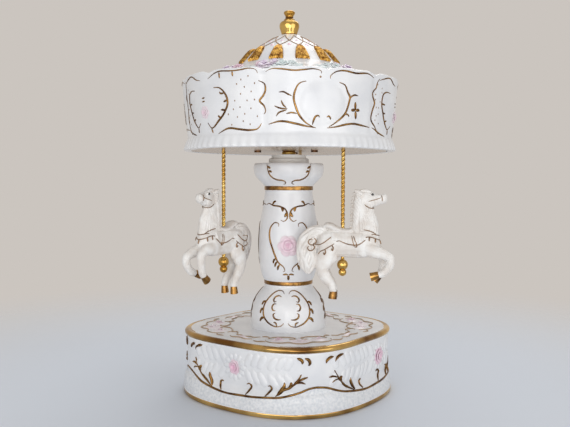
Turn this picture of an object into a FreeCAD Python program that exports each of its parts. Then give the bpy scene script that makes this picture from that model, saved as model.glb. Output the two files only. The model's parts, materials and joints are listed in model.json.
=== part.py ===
import FreeCAD, Part

import math
import os

# Wind-up carousel music box: a porcelain roundabout with three hanging horses, turned by a musical movement.
# Millimetres, +Z up, origin on the table under the centre of the base. The front is -Y.
# Azimuths are in degrees from the front, growing towards +X.

V = FreeCAD.Vector
UP = V(0, 0, 1)
ACROSS = V(1, 0, 0)

# Driving sizes of the whole
TOTAL_HEIGHT = 289.0
BASE_RADIUS = 77.5
BASE_HEIGHT = 48.0
CANOPY_RADIUS = 81.5
CANOPY_BOTTOM = 182.0
CANOPY_TOP = 234.5
HORSE_COUNT = 3
HORSE_RADIUS = 51.5
HORSE_AZIMUTH = -70.5
HORSE_TURN_FROM_RADIAL = 34.0
PORCELAIN = 3.4
FIXED_GAP = 0.02
RUNNING_GAP = 0.05
SCREW_CLEARANCE = 0.2
LOOSE_GAP = 0.3

# Base: a square with very round corners, one corner towards the front
BASE_CORNERS = 4
BASE_CORNER_SHARE = 0.06
FOOT_CORNER_SHARE = 0.033
BASE_CORNER_AZIMUTH = 8.0
PLINTH_HEIGHT = 15.0
FOOT_BAND_HEIGHT = 4.0
PLINTH_TAPER = 3.6
WALL_INSET = 4.6
RIM_INSET = 2.4
RIM_THICKNESS = 5.0
RIM_SECTIONS = 7
DECK_THICKNESS = 4.0
DECK_TOP = BASE_HEIGHT
DECK_UNDERSIDE = DECK_TOP - DECK_THICKNESS
CAVITY_RADIUS = BASE_RADIUS - WALL_INSET - PORCELAIN

# Underside: the board that closes the base, set up inside it to leave room for the key
BOARD_BOTTOM = 15.0
BOARD_THICKNESS = 3.0
BOARD_TOP = BOARD_BOTTOM + BOARD_THICKNESS
BLOCK_SIZE = 11.0
BLOCK_HEIGHT = 12.0
BLOCK_RADIUS = 62.0
BLOCK_PILOT_DEPTH = 10.0
BOARD_SCREW_RADIUS = 1.35
KEY_HOLE_RADIUS = 4.4

# Column: foot, vase and capital, stacked on a threaded tube
FOOT_TOP = 81.0
VASE_TOP = 153.0
CAPITAL_TOP = 173.0
FOOT_BOTTOM_RADIUS = 29.0
NECK_RADIUS = 18.3
VASE_RADIUS = 23.0
CAPITAL_RADIUS = 26.0
CAPITAL_LOBES = 4
CAPITAL_LOBE_SHARE = 0.035
CAPITAL_WELL_RADIUS = 11.0
CAPITAL_FLOOR = 164.5
TUBE_RADIUS = 5.0
TUBE_BORE = 2.6
TUBE_BOTTOM = 41.0
TUBE_TOP = 171.0
TUBE_HOLE = TUBE_RADIUS + 0.2
BUSH_LENGTH = 5.0
BUSH_FLANGE = 0.4
NUT_ACROSS_FLATS = 14.0
NUT_HEIGHT = 2.8
WASHER_RADIUS = 8.6
WASHER_THICKNESS = 1.0

# Shaft line
SHAFT_RADIUS = 2.0
SHAFT_BOTTOM = 36.8
SHAFT_TOP = 281.0
HUB_BOTTOM = CAPITAL_TOP + LOOSE_GAP
HUB_RADIUS = 15.4
HUB_TOP = 179.4
HUB_STEP = 3.6
COLLAR_RADIUS = 5.4
FLOOR_BOTTOM = CANOPY_BOTTOM + 0.3
FLOOR_THICKNESS = 3.0
FLOOR_TOP = FLOOR_BOTTOM + FLOOR_THICKNESS
FLOOR_RADIUS = 74.0
PLATE_RADIUS = 33.0
PLATE_THICKNESS = 2.0
PLATE_HUB_RADIUS = 6.0
PLATE_HUB_HEIGHT = 4.0
PLATE_SCREW_CIRCLE = 25.0
PLATE_SCREW_RADIUS = 1.3

# Canopy
CANOPY_PANELS = 6
CANOPY_PANEL_SHARE = 0.011
CANOPY_PANEL_AZIMUTH = 18.0
WALL_BOTTOM = 191.0
WALL_TAPER = 4.5
HEM_RADIUS = 80.0
ROOF_EDGE = 231.5
HEM_FLARE = 2.6
DOME_RADIUS = 36.5
DOME_BOTTOM = 248.0
DOME_TOP = 270.0
DOME_CROWN_RADIUS = 8.2
ROOF_BEND_RADIUS = 54.0
ROOF_BEND = 238.0
DOME_FOOT_RADIUS = 40.0
DOME_FOOT = 244.6
DOME_CEILING = 260.5

# Poles
POLE_RADIUS = 1.5
POLE_BOTTOM = 92.5
POLE_ABOVE_FLOOR = 4.0
POLE_NUT_ACROSS_FLATS = 5.5
POLE_NUT_HEIGHT = 2.4
BALL_RADIUS = 4.0
BALL_CENTRE = 99.0
SMALL_BALL_RADIUS = 2.9
SMALL_BALL_CENTRE = 93.6

# Musical movement
BED_THICKNESS = 2.0
BED_TOP = BOARD_TOP + BED_THICKNESS
BED_LEFT = -15.0
BED_RIGHT = 52.0
BED_FRONT = -20.0
BED_BACK = 24.0
MOVEMENT_SCREW_RADIUS = 1.2
BARREL_BOTTOM = 24.5
BARREL_RADIUS = 10.5
BARREL_WALL = 0.8
FLANGE_BOTTOM = 36.0
FLANGE_RADIUS = 15.0
FLANGE_THICKNESS = 1.6
BARREL_BOSS_RADIUS = 4.0
BARREL_BOSS_TOP = 40.2
ARBOR_RADIUS = 2.2
ARBOR_CORE_RADIUS = 3.0
CLUTCH_RADIUS = 2.6
CLUTCH_WIRE = 0.3
CLUTCH_PITCH = 0.72
CLUTCH_TURNS = 4
SPRING_TURNS = 6
SPRING_THICKNESS = 0.32
SPRING_HEIGHT = 9.0
SPRING_STEPS_PER_TURN = 12
FACE_TEETH = 40
FACE_TOOTH_INNER = 11.5
FACE_TOOTH_OUTER = 14.6
FACE_TOOTH_HEIGHT = 1.25
FACE_TOOTH_HALF_TIP = 0.24
FACE_TOOTH_HALF_ROOT = 0.47
PINION_TEETH = 16
PINION_MODULE = 0.65
PINION_X = 11.7
PINION_THICKNESS = 2.7
CYLINDER_AXIS_Z = 30.2
CYLINDER_RADIUS = 6.2
CYLINDER_START = 17.8
CYLINDER_LENGTH = 22.0
PIN_LENGTH = 0.5
PIN_RADIUS = 0.2
COMB_TEETH = 18
COMB_THICKNESS = 0.9
COMB_BOTTOM = CYLINDER_AXIS_Z - 0.3
COMB_TIP_GAP = 0.25
COMB_SLOT = 0.4
COMB_ROOT_Y = 15.5
COMB_SCREW_RADIUS = 1.1
COMB_SCREW_LENGTH = 7.0
PINS_PER_TOOTH = 4
GOLDEN_ANGLE = 137.508
END_WHEEL_TEETH = 24
END_WHEEL_MODULE = 0.5
END_WHEEL_X = 40.7
END_WHEEL_THICKNESS = 1.5
INNER_BEARING_X = 15.2
OUTER_BEARING_X = 43.0
BEARING_THICKNESS = 1.5
BEARING_TOP = 33.5
BEARING_HALF_WIDTH = 3.5
CYLINDER_ARBOR_RADIUS = 1.2
TRAIN_PINION_TEETH = 8
TRAIN_AXIS_Y = -0.5 * END_WHEEL_MODULE * (END_WHEEL_TEETH + TRAIN_PINION_TEETH)
TRAIN_ARBOR_RADIUS = 0.8
WORM_WHEEL_TEETH = 20
WORM_MODULE = 0.4
WORM_WHEEL_X = 46.0
WORM_WHEEL_THICKNESS = 1.2
WORM_PITCH_RADIUS = 1.1
WORM_ROOT = 0.75
WORM_TIP = 1.4
WORM_LEAD = math.pi * WORM_MODULE
WORM_X = WORM_WHEEL_X + 0.5 * WORM_WHEEL_THICKNESS
WORM_Y = TRAIN_AXIS_Y - 0.5 * WORM_MODULE * WORM_WHEEL_TEETH - WORM_PITCH_RADIUS
GOVERNOR_TOP = 40.5
GOVERNOR_SHEET = 1.4
GOVERNOR_LEFT = 42.0
GOVERNOR_RIGHT = 50.0
GOVERNOR_FRONT = -19.5
GOVERNOR_SCREW_RADIUS = 1.0
PIVOT_RADIUS = 0.5
WORM_TURNS = 5.5
FAN_RADIUS = 4.6
FAN_BOTTOM = 35.4
FAN_HEIGHT = 4.2
FAN_HUB_RADIUS = 1.5
FAN_BLADE = 0.5

# Winding key, in the hollow under the board
KEY_BOTTOM = 2.4
KEY_SPAN = 27.0
KEY_WING_HEIGHT = 9.0
KEY_THICKNESS = 1.8
KEY_COLLAR_RADIUS = 3.4
KEY_WING_HOLE = 2.2
KEY_GRIP_DEPTH = 2.0


def place(radius, azimuth, z=0.0):
    """A point at that distance from the axis, on that azimuth."""
    angle = math.radians(azimuth)
    return V(radius * math.sin(angle), -radius * math.cos(angle), z)


def spread(shape, count, start):
    """Copies of a shape made at azimuth zero, spread evenly about the axis."""
    copies = []
    for i in range(count):
        copy = shape.copy()
        copy.rotate(V(), UP, start + 360.0 * i / count)
        copies.append(copy)
    return copies


def rod(radius, start, end):
    """A round bar between two points."""
    along = end - start
    return Part.makeCylinder(radius, along.Length, start, along)


def post(radius, bottom, top, x=0.0, y=0.0):
    """An upright round bar."""
    return rod(radius, V(x, y, bottom), V(x, y, top))


def block(low, high):
    """A box between two corners."""
    size = V(*high) - V(*low)
    return Part.makeBox(size.x, size.y, size.z, V(*low))


def turned(outline):
    """A solid turned about the axis from (radius, height) corners; a list among them is a smooth curve."""
    points = []
    edges = []
    for item in outline:
        smooth = isinstance(item, list)
        run = [V(r, 0, z) for r, z in (item if smooth else [item])]
        if points and (points[-1] - run[0]).Length > 1e-6:
            edges.append(Part.makeLine(points[-1], run[0]))
        if smooth:
            curve = Part.BSplineCurve()
            curve.interpolate(run)
            edges.append(curve.toShape())
        points.extend(run)
    if (points[-1] - points[0]).Length > 1e-6:
        edges.append(Part.makeLine(points[-1], points[0]))
    face = Part.Face(Part.Wire(edges))
    return face.revolve(V(), UP, 360)


def lobed(radius, lobes, share, azimuth, z):
    """A closed wire round the axis that swells to each lobe."""
    points = []
    count = 8 * lobes
    for i in range(count):
        turn = 360.0 * i / count
        swell = 1 + share * math.cos(math.radians(lobes * (turn - azimuth)))
        points.append(place(radius * swell, turn, z))
    curve = Part.BSplineCurve()
    curve.interpolate(points, PeriodicFlag=True)
    return Part.Wire(curve.toShape())


def base_prism(radius, bottom, top):
    """An upright prism with the plan of the base."""
    wire = lobed(radius, BASE_CORNERS, BASE_CORNER_SHARE, BASE_CORNER_AZIMUTH, bottom)
    return Part.Face(wire).extrude(UP * (top - bottom))


def hexagon_nut(across_flats, bore, bottom, height):
    """A plain hexagon nut about the axis."""
    corner = across_flats / math.sqrt(3)
    points = [place(corner, 60 * i, bottom) for i in range(7)]
    body = Part.Face(Part.makePolygon(points)).extrude(UP * height)
    return body.cut(post(bore, bottom - 1, bottom + height + 1))


def pan_screw(point, radius, length, direction):
    """A slotted screw whose head sits on a point and whose shank runs along the direction."""
    head_radius = 2 * radius
    top = point - direction * radius
    slot_corner = V(head_radius + 1, 0.3 * radius, 0.5 * radius)
    slot = block(slot_corner * -1, slot_corner)
    slot.translate(top)
    return rod(head_radius, top, point).fuse(rod(radius, point, point + direction * length)).cut(slot)


def gear(teeth, module, x, thickness, tooth_share, lift, drop, first):
    """A wheel on an axis along +X with straight-sided teeth; first is one tooth's angle from +Y to +Z."""
    pitch_radius = 0.5 * module * teeth
    pitch = 2 * math.pi / teeth
    half_tip = 0.5 * pitch * (tooth_share - 0.12)
    half_root = 0.5 * pitch * (tooth_share + 0.16)
    points = []
    for i in range(teeth):
        middle = math.radians(first) + i * pitch
        corners = (
            (pitch_radius - drop, -half_root),
            (pitch_radius + lift, -half_tip),
            (pitch_radius + lift, half_tip),
            (pitch_radius - drop, half_root),
        )
        for radius, turn in corners:
            points.append(V(x, radius * math.cos(middle + turn), radius * math.sin(middle + turn)))
    points.append(points[0])
    return Part.Face(Part.makePolygon(points)).extrude(ACROSS * thickness)


def limb(stations):
    """A rounded body through (x, y, z, half width, half depth) stations, with sections square to its path."""
    centres = [V(*station[:3]) for station in stations]
    wires = []
    for i, station in enumerate(stations):
        before = centres[max(i - 1, 0)]
        after = centres[min(i + 1, len(centres) - 1)]
        along = (after - before).normalize()
        sideways = V(0, 1, 0) - along * along.y
        sideways.normalize()
        depth = along.cross(sideways)
        points = []
        for k in range(8):
            turn = math.radians(45 * k)
            offset = sideways * (station[3] * math.cos(turn)) + depth * (station[4] * math.sin(turn))
            points.append(centres[i] + offset)
        curve = Part.BSplineCurve()
        curve.interpolate(points, PeriodicFlag=True)
        wires.append(Part.Wire(curve.toShape()))
    return Part.makeLoft(wires, True)


# Base and column


def rim_bead():
    """Half-round bead that edges the deck, solid to the middle."""
    half = 0.5 * RIM_THICKNESS
    wires = []
    for i in range(RIM_SECTIONS):
        turn = math.radians(-90 + 180.0 * i / (RIM_SECTIONS - 1))
        radius = BASE_RADIUS - RIM_INSET - half + half * math.cos(turn)
        z = DECK_TOP - half + half * math.sin(turn)
        wires.append(lobed(radius, BASE_CORNERS, BASE_CORNER_SHARE, BASE_CORNER_AZIMUTH, z))
    return Part.makeLoft(wires, True)


def base_plinth():
    """Plinth that narrows from its foot, which is nearer to round, to the plan of the wall."""
    foot = BASE_RADIUS, FOOT_CORNER_SHARE
    top = BASE_RADIUS - PLINTH_TAPER, BASE_CORNER_SHARE
    wires = []
    for (radius, share), z in ((foot, 0), (foot, FOOT_BAND_HEIGHT), (top, PLINTH_HEIGHT)):
        wires.append(lobed(radius, BASE_CORNERS, share, BASE_CORNER_AZIMUTH, z))
    return Part.makeLoft(wires, True, True)


def base_shell():
    """Plinth, wall, rounded rim and deck, open underneath."""
    wall = base_prism(BASE_RADIUS - WALL_INSET, PLINTH_HEIGHT - 1, DECK_TOP - 0.5 * RIM_THICKNESS)
    cavity = base_prism(CAVITY_RADIUS, -1, DECK_UNDERSIDE)
    hole = post(TUBE_HOLE, DECK_UNDERSIDE - 1, DECK_TOP + 1)
    return base_plinth().fuse([wall, rim_bead()]).cut([cavity, hole])


def column_foot():
    """Bell-shaped foot, hollow, with a round hole for the tube through its top."""
    inner = FOOT_BOTTOM_RADIUS - PORCELAIN
    outside = [
        (FOOT_BOTTOM_RADIUS, DECK_TOP),
        (0.99 * FOOT_BOTTOM_RADIUS, DECK_TOP + 8.6),
        (0.958 * FOOT_BOTTOM_RADIUS, DECK_TOP + 16),
        (0.9 * FOOT_BOTTOM_RADIUS, DECK_TOP + 21),
        (0.77 * FOOT_BOTTOM_RADIUS, DECK_TOP + 26.5),
        (NECK_RADIUS, FOOT_TOP - 2),
    ]
    inside = [
        (NECK_RADIUS - PORCELAIN, FOOT_TOP - PORCELAIN - 2),
        (0.77 * inner, DECK_TOP + 24),
        (0.958 * inner, DECK_TOP + 15),
        (inner, DECK_TOP),
    ]
    top = [(NECK_RADIUS, FOOT_TOP), (TUBE_HOLE, FOOT_TOP), (TUBE_HOLE, FOOT_TOP - PORCELAIN - 2)]
    return turned([outside, *top, inside])


def column_vase():
    """The swelling middle of the column, hollow between its two ends."""
    height = VASE_TOP - FOOT_TOP
    swell = VASE_RADIUS - NECK_RADIUS
    shares = ((0.08, 0.42), (0.2, 0.78), (0.33, 0.96), (0.46, 1.0), (0.6, 0.88), (0.74, 0.52), (0.87, 0.2))
    bottom = FOOT_TOP + 2
    outside = [(NECK_RADIUS, bottom)]
    outside += [(NECK_RADIUS + swell * out, FOOT_TOP + height * up) for up, out in shares]
    outside += [(NECK_RADIUS, VASE_TOP - 2)]
    inside = [(r - PORCELAIN, z) for r, z in outside[1:-1]]
    inside.reverse()
    return turned(
        [
            (TUBE_HOLE, FOOT_TOP),
            (NECK_RADIUS, FOOT_TOP),
            outside,
            (NECK_RADIUS, VASE_TOP),
            (TUBE_HOLE, VASE_TOP),
            (TUBE_HOLE, VASE_TOP - PORCELAIN),
            inside,
            (TUBE_HOLE, FOOT_TOP + PORCELAIN),
        ]
    )


def column_capital():
    """Four-lobed bowl on top of the column, with a round well for the tube's nut."""
    rise = CAPITAL_TOP - VASE_TOP
    rising = ((0.0, 0.705, 0.0), (0.1, 0.715, 0.15), (0.3, 0.83, 0.6))
    lip = ((0.55, 0.965, 1.0), (0.8, 1.0, 1.0), (1.0, 0.975, 0.9))
    wires = []
    for up, out, share in (*rising, *lip):
        z = VASE_TOP + rise * up
        wires.append(lobed(CAPITAL_RADIUS * out, CAPITAL_LOBES, CAPITAL_LOBE_SHARE * share, 0, z))
    bowl = Part.makeLoft(wires, True)
    well = post(CAPITAL_WELL_RADIUS, CAPITAL_FLOOR, CAPITAL_TOP + 1)
    return bowl.cut(well.fuse(post(TUBE_HOLE, VASE_TOP - 1, CAPITAL_TOP)))


def column_tube():
    """Threaded tube that clamps the column to the deck and guides the shaft."""
    return post(TUBE_RADIUS, TUBE_BOTTOM, TUBE_TOP).cut(post(TUBE_BORE, TUBE_BOTTOM - 1, TUBE_TOP + 1))


def tube_washer(bottom):
    """Flat washer round the tube."""
    top = bottom + WASHER_THICKNESS
    return post(WASHER_RADIUS, bottom, top).cut(post(TUBE_HOLE, bottom - 1, top + 1))


def tube_washers():
    """One washer under the deck and one in the well of the capital."""
    return [tube_washer(DECK_UNDERSIDE - WASHER_THICKNESS), tube_washer(CAPITAL_FLOOR)]


def tube_nuts():
    """The two nuts that pull the column together."""
    bore = TUBE_RADIUS + FIXED_GAP
    bottoms = (DECK_UNDERSIDE - WASHER_THICKNESS - NUT_HEIGHT, CAPITAL_FLOOR + WASHER_THICKNESS)
    return [hexagon_nut(NUT_ACROSS_FLATS, bore, bottom, NUT_HEIGHT) for bottom in bottoms]


def shaft_bush(bottom, top, flange_bottom, flange_top):
    """Flanged bush, pushed into an end of the tube."""
    sleeve = post(TUBE_BORE - FIXED_GAP, bottom, top)
    flange = post(TUBE_RADIUS - SCREW_CLEARANCE, flange_bottom, flange_top)
    bore = post(SHAFT_RADIUS + RUNNING_GAP, bottom - BUSH_LENGTH, top + BUSH_LENGTH)
    return sleeve.fuse(flange).cut(bore)


def lower_bush():
    """Bush at the bottom of the tube."""
    bottom = TUBE_BOTTOM - BUSH_FLANGE
    return shaft_bush(bottom, TUBE_BOTTOM + BUSH_LENGTH, bottom, TUBE_BOTTOM)


def upper_bush():
    """Bush at the top of the tube, which carries the turntable."""
    return shaft_bush(TUBE_TOP - BUSH_LENGTH, TUBE_TOP, TUBE_TOP, HUB_BOTTOM - RUNNING_GAP)


def corner_points(radius, z):
    """The four corners of the base at that radius."""
    return [place(radius, BASE_CORNER_AZIMUTH + 90 * i, z) for i in range(BASE_CORNERS)]


def bedplate_screw_points(z):
    """Where three screws hold the movement to the board."""
    inset = 5
    left = BED_LEFT + inset
    right = BED_RIGHT - inset
    return [V(left, BED_FRONT + inset, z), V(left, BED_BACK - inset, z), V(right, 0.5 * BED_BACK, z)]


def bottom_board():
    """Fibre board that closes the base and carries the movement."""
    board = base_prism(CAVITY_RADIUS - LOOSE_GAP, BOARD_BOTTOM, BOARD_TOP)
    through = UP * (BOARD_THICKNESS + 2)
    holes = [post(KEY_HOLE_RADIUS, BOARD_BOTTOM - 1, BOARD_TOP + 1)]
    for point in corner_points(BLOCK_RADIUS, BOARD_BOTTOM - 1):
        holes.append(rod(BOARD_SCREW_RADIUS + SCREW_CLEARANCE, point, point + through))
    for point in bedplate_screw_points(BOARD_BOTTOM - 1):
        holes.append(rod(MOVEMENT_SCREW_RADIUS + SCREW_CLEARANCE, point, point + through))
    return board.cut(holes)


def corner_blocks():
    """Wooden blocks glued into the corners of the base, for the board's screws."""
    inside = base_prism(CAVITY_RADIUS, 0, DECK_UNDERSIDE)
    half = 0.5 * BLOCK_SIZE
    blocks = []
    for i, point in enumerate(corner_points(BLOCK_RADIUS, BOARD_TOP)):
        body = block((-half, -2 * BLOCK_SIZE, 0), (half, half, BLOCK_HEIGHT))
        body.rotate(V(), UP, BASE_CORNER_AZIMUTH + 90 * i)
        body.translate(point)
        pilot = rod(BOARD_SCREW_RADIUS + RUNNING_GAP, point - UP, point + UP * BLOCK_PILOT_DEPTH)
        blocks.append(body.common(inside).cut(pilot))
    return blocks


def board_screws():
    """Four screws that hold the board to the blocks."""
    length = BOARD_THICKNESS + BLOCK_PILOT_DEPTH - 2
    points = corner_points(BLOCK_RADIUS, BOARD_BOTTOM)
    return [pan_screw(point, BOARD_SCREW_RADIUS, length, UP) for point in points]


# Musical movement


def upright(x, front):
    """A bearing plate that stands on the bedplate."""
    return block((x, front, BOARD_TOP), (x + BEARING_THICKNESS, BEARING_HALF_WIDTH, BEARING_TOP))


def bedplate():
    """Cast plate of the movement, with the cylinder's bearings and the comb's seat."""
    plate = block((BED_LEFT, BED_FRONT, BOARD_TOP), (BED_RIGHT, BED_BACK, BED_TOP))
    drum_end = CYLINDER_START + CYLINDER_LENGTH
    seat = block((CYLINDER_START, COMB_ROOT_Y, BOARD_TOP), (drum_end, BED_BACK, COMB_BOTTOM))
    inner = upright(INNER_BEARING_X, -BEARING_HALF_WIDTH)
    outer = upright(OUTER_BEARING_X, TRAIN_AXIS_Y - BEARING_HALF_WIDTH)
    drum_axis = V(0, 0, CYLINDER_AXIS_Z)
    train_axis = V(0, TRAIN_AXIS_Y, CYLINDER_AXIS_Z)
    length = ACROSS * BED_RIGHT
    holes = [
        rod(CYLINDER_ARBOR_RADIUS + RUNNING_GAP, drum_axis, drum_axis + length),
        rod(TRAIN_ARBOR_RADIUS + RUNNING_GAP, train_axis, train_axis + length),
        post(ARBOR_RADIUS + RUNNING_GAP, 0, BED_TOP + 1),
    ]
    for point in bedplate_screw_points(BOARD_TOP - 1):
        holes.append(rod(MOVEMENT_SCREW_RADIUS + RUNNING_GAP, point, point + UP * (BED_THICKNESS + 2)))
    for point in comb_screw_points(COMB_BOTTOM):
        holes.append(rod(COMB_SCREW_RADIUS + RUNNING_GAP, point, point - UP * COMB_SCREW_LENGTH))
    foot = governor_foot_screw_point(BOARD_TOP - 1)
    holes.append(rod(GOVERNOR_SCREW_RADIUS + RUNNING_GAP, foot, foot + UP * (BED_THICKNESS + 2)))
    return plate.fuse([seat, inner, outer]).cut(holes)


def movement_screws():
    """Three screws from under the board into the bedplate."""
    length = BOARD_THICKNESS + BED_THICKNESS - 0.1
    points = bedplate_screw_points(BOARD_BOTTOM)
    return [pan_screw(point, MOVEMENT_SCREW_RADIUS, length, UP) for point in points]


def comb_screw_points(z):
    """Where two screws hold the comb."""
    y = 0.5 * (COMB_ROOT_Y + BED_BACK) + 0.75
    return [V(CYLINDER_START + CYLINDER_LENGTH * share, y, z) for share in (0.2, 0.8)]


def comb():
    """Steel comb; the free ends of its teeth stand just clear of the pins."""
    tip = CYLINDER_RADIUS + PIN_LENGTH + COMB_TIP_GAP
    top = COMB_BOTTOM + COMB_THICKNESS
    plate = block((CYLINDER_START, tip, COMB_BOTTOM), (CYLINDER_START + CYLINDER_LENGTH, BED_BACK, top))
    half_slot = 0.5 * COMB_SLOT
    cuts = []
    for i in range(1, COMB_TEETH):
        x = CYLINDER_START + CYLINDER_LENGTH * i / COMB_TEETH
        cuts.append(block((x - half_slot, tip - 1, COMB_BOTTOM - 1), (x + half_slot, COMB_ROOT_Y, top + 1)))
    for point in comb_screw_points(COMB_BOTTOM - 1):
        cuts.append(rod(COMB_SCREW_RADIUS + SCREW_CLEARANCE, point, point + UP * (COMB_THICKNESS + 2)))
    return plate.cut(cuts)


def comb_screws():
    """Two screws through the comb into its seat."""
    points = comb_screw_points(COMB_BOTTOM + COMB_THICKNESS)
    return [pan_screw(point, COMB_SCREW_RADIUS, COMB_SCREW_LENGTH, UP * -1) for point in points]


def pin_cylinder():
    """The drum of the tune, with its pins in one row for each tooth of the comb."""
    axis = V(0, 0, CYLINDER_AXIS_Z)
    start = axis + ACROSS * CYLINDER_START
    drum = rod(CYLINDER_RADIUS, start, start + ACROSS * CYLINDER_LENGTH)
    pitch = CYLINDER_LENGTH / COMB_TEETH
    pins = []
    for i in range(COMB_TEETH * PINS_PER_TOOTH):
        x = CYLINDER_START + pitch * (i % COMB_TEETH + 0.5)
        turn = math.radians(GOLDEN_ANGLE * i)
        out = V(0, math.cos(turn), math.sin(turn))
        foot = V(x, 0, CYLINDER_AXIS_Z) + out * (CYLINDER_RADIUS - PIN_LENGTH)
        pins.append(rod(PIN_RADIUS, foot, foot + out * (2 * PIN_LENGTH)))
    bore = rod(CYLINDER_ARBOR_RADIUS + FIXED_GAP, axis, axis + ACROSS * BED_RIGHT)
    return drum.fuse(pins).cut(bore)


def cylinder_arbor():
    """Thin axle of the tune drum."""
    axis = V(0, 0, CYLINDER_AXIS_Z)
    start = BARREL_RADIUS + 0.4
    end = OUTER_BEARING_X + BEARING_THICKNESS + 0.7
    return rod(CYLINDER_ARBOR_RADIUS, axis + ACROSS * start, axis + ACROSS * end)


def on_cylinder_arbor(wheel):
    """A wheel bored to sit on the drum's axle."""
    axis = V(0, 0, CYLINDER_AXIS_Z)
    wheel.translate(axis)
    return wheel.cut(rod(CYLINDER_ARBOR_RADIUS + FIXED_GAP, axis, axis + ACROSS * BED_RIGHT))


def cylinder_pinion():
    """Small wheel driven by the teeth under the barrel's flange; one tooth points straight up."""
    wheel = gear(PINION_TEETH, PINION_MODULE, PINION_X, PINION_THICKNESS, 0.36, 0.4, 0.85, 90)
    return on_cylinder_arbor(wheel)


def cylinder_wheel():
    """Wheel at the far end of the drum, which drives the train; one tooth points to -Y."""
    wheel = gear(END_WHEEL_TEETH, END_WHEEL_MODULE, END_WHEEL_X, END_WHEEL_THICKNESS, 0.36, 0.35, 0.6, 180)
    return on_cylinder_arbor(wheel)


def train_wheel():
    """Pinion, axle and worm wheel between the drum and the governor."""
    axis = V(0, TRAIN_AXIS_Y, CYLINDER_AXIS_Z)
    half_tooth = 180.0 / TRAIN_PINION_TEETH
    pinion = gear(
        TRAIN_PINION_TEETH, END_WHEEL_MODULE, END_WHEEL_X, END_WHEEL_THICKNESS, 0.34, 0.35, 0.6, half_tooth
    )
    wheel = gear(WORM_WHEEL_TEETH, WORM_MODULE, WORM_WHEEL_X, WORM_WHEEL_THICKNESS, 0.34, 0.28, 0.5, 180)
    pinion.translate(axis)
    wheel.translate(axis)
    start = axis + ACROSS * (END_WHEEL_X - 0.4)
    end = axis + ACROSS * (GOVERNOR_RIGHT + 0.3)
    axle = rod(TRAIN_ARBOR_RADIUS, start, end)
    return axle.fuse([pinion, wheel])


def governor_foot_screw_point(z):
    """Where one screw holds the governor's bracket."""
    return V(GOVERNOR_LEFT + 2, GOVERNOR_FRONT + 4.1, z)


def governor_bracket():
    """Bent bracket that carries the worm spindle and the outer end of the train."""
    front = GOVERNOR_FRONT
    inside = WORM_Y + 2.4
    clear_of_bearing = TRAIN_AXIS_Y - BEARING_HALF_WIDTH - LOOSE_GAP
    floor_top = BED_TOP + GOVERNOR_SHEET
    arm_top = GOVERNOR_TOP + GOVERNOR_SHEET
    foot = block((GOVERNOR_LEFT, front, BED_TOP), (GOVERNOR_RIGHT, clear_of_bearing, floor_top))
    back = block((GOVERNOR_LEFT, front, BED_TOP), (GOVERNOR_RIGHT, front + 1.1, arm_top))
    arm = block((WORM_X - 2.6, front, GOVERNOR_TOP), (WORM_X + 2.6, inside, arm_top))
    tab = block((GOVERNOR_RIGHT - 1.2, front, BED_TOP), (GOVERNOR_RIGHT, TRAIN_AXIS_Y + 2.2, BEARING_TOP))
    axis = V(GOVERNOR_LEFT, TRAIN_AXIS_Y, CYLINDER_AXIS_Z)
    pivot_hole = PIVOT_RADIUS + RUNNING_GAP
    foot_screw = governor_foot_screw_point(BED_TOP - 1)
    holes = [
        rod(TRAIN_ARBOR_RADIUS + RUNNING_GAP, axis, axis + ACROSS * BED_RIGHT),
        post(pivot_hole, floor_top - 1, floor_top + 1, WORM_X, WORM_Y),
        post(pivot_hole, GOVERNOR_TOP - 1, GOVERNOR_TOP + 1, WORM_X, WORM_Y),
        rod(GOVERNOR_SCREW_RADIUS + SCREW_CLEARANCE, foot_screw, foot_screw + UP * (GOVERNOR_SHEET + 2)),
    ]
    return foot.fuse([back, arm, tab]).cut(holes)


def governor_screw():
    """The screw of the governor's bracket."""
    point = governor_foot_screw_point(BED_TOP + GOVERNOR_SHEET)
    return pan_screw(point, GOVERNOR_SCREW_RADIUS, GOVERNOR_SHEET + BED_THICKNESS - 0.4, UP * -1)


def governor_worm():
    """Upright worm spindle; the thread is right-handed and has a gap where a wheel tooth enters it."""
    inside = WORM_ROOT - 0.15
    half_root = 0.2 * WORM_LEAD
    half_tip = 0.11 * WORM_LEAD
    lower = [V(inside, 0, -half_root), V(WORM_TIP, 0, -half_tip)]
    corners = lower + [V(point.x, 0, -point.z) for point in reversed(lower)]
    profile = Part.makePolygon(corners + corners[:1])
    helix = Part.Wire(Part.makeHelix(WORM_LEAD, WORM_TURNS * WORM_LEAD, WORM_ROOT).Edges)
    thread = helix.makePipeShell([profile], True, True)
    thread.translate(UP * (CYLINDER_AXIS_Z - 0.5 * WORM_TURNS * WORM_LEAD))
    floor_top = BED_TOP + GOVERNOR_SHEET
    core = post(WORM_ROOT, floor_top + 0.2, GOVERNOR_TOP - 0.2)
    pivots = post(PIVOT_RADIUS, floor_top - 0.8, GOVERNOR_TOP + 0.8)
    spindle = core.fuse([thread, pivots])
    spindle.translate(V(WORM_X, WORM_Y, 0))
    return spindle


def governor_fan():
    """Two-bladed air brake on the worm spindle."""
    top = FAN_BOTTOM + FAN_HEIGHT
    hub = post(FAN_HUB_RADIUS, FAN_BOTTOM, top)
    blade = block((-FAN_RADIUS, -0.5 * FAN_BLADE, FAN_BOTTOM), (FAN_RADIUS, 0.5 * FAN_BLADE, top))
    fan = hub.fuse(blade).cut(post(WORM_ROOT + FIXED_GAP, FAN_BOTTOM - 1, top + 1))
    fan.translate(V(WORM_X, WORM_Y, 0))
    return fan


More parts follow.
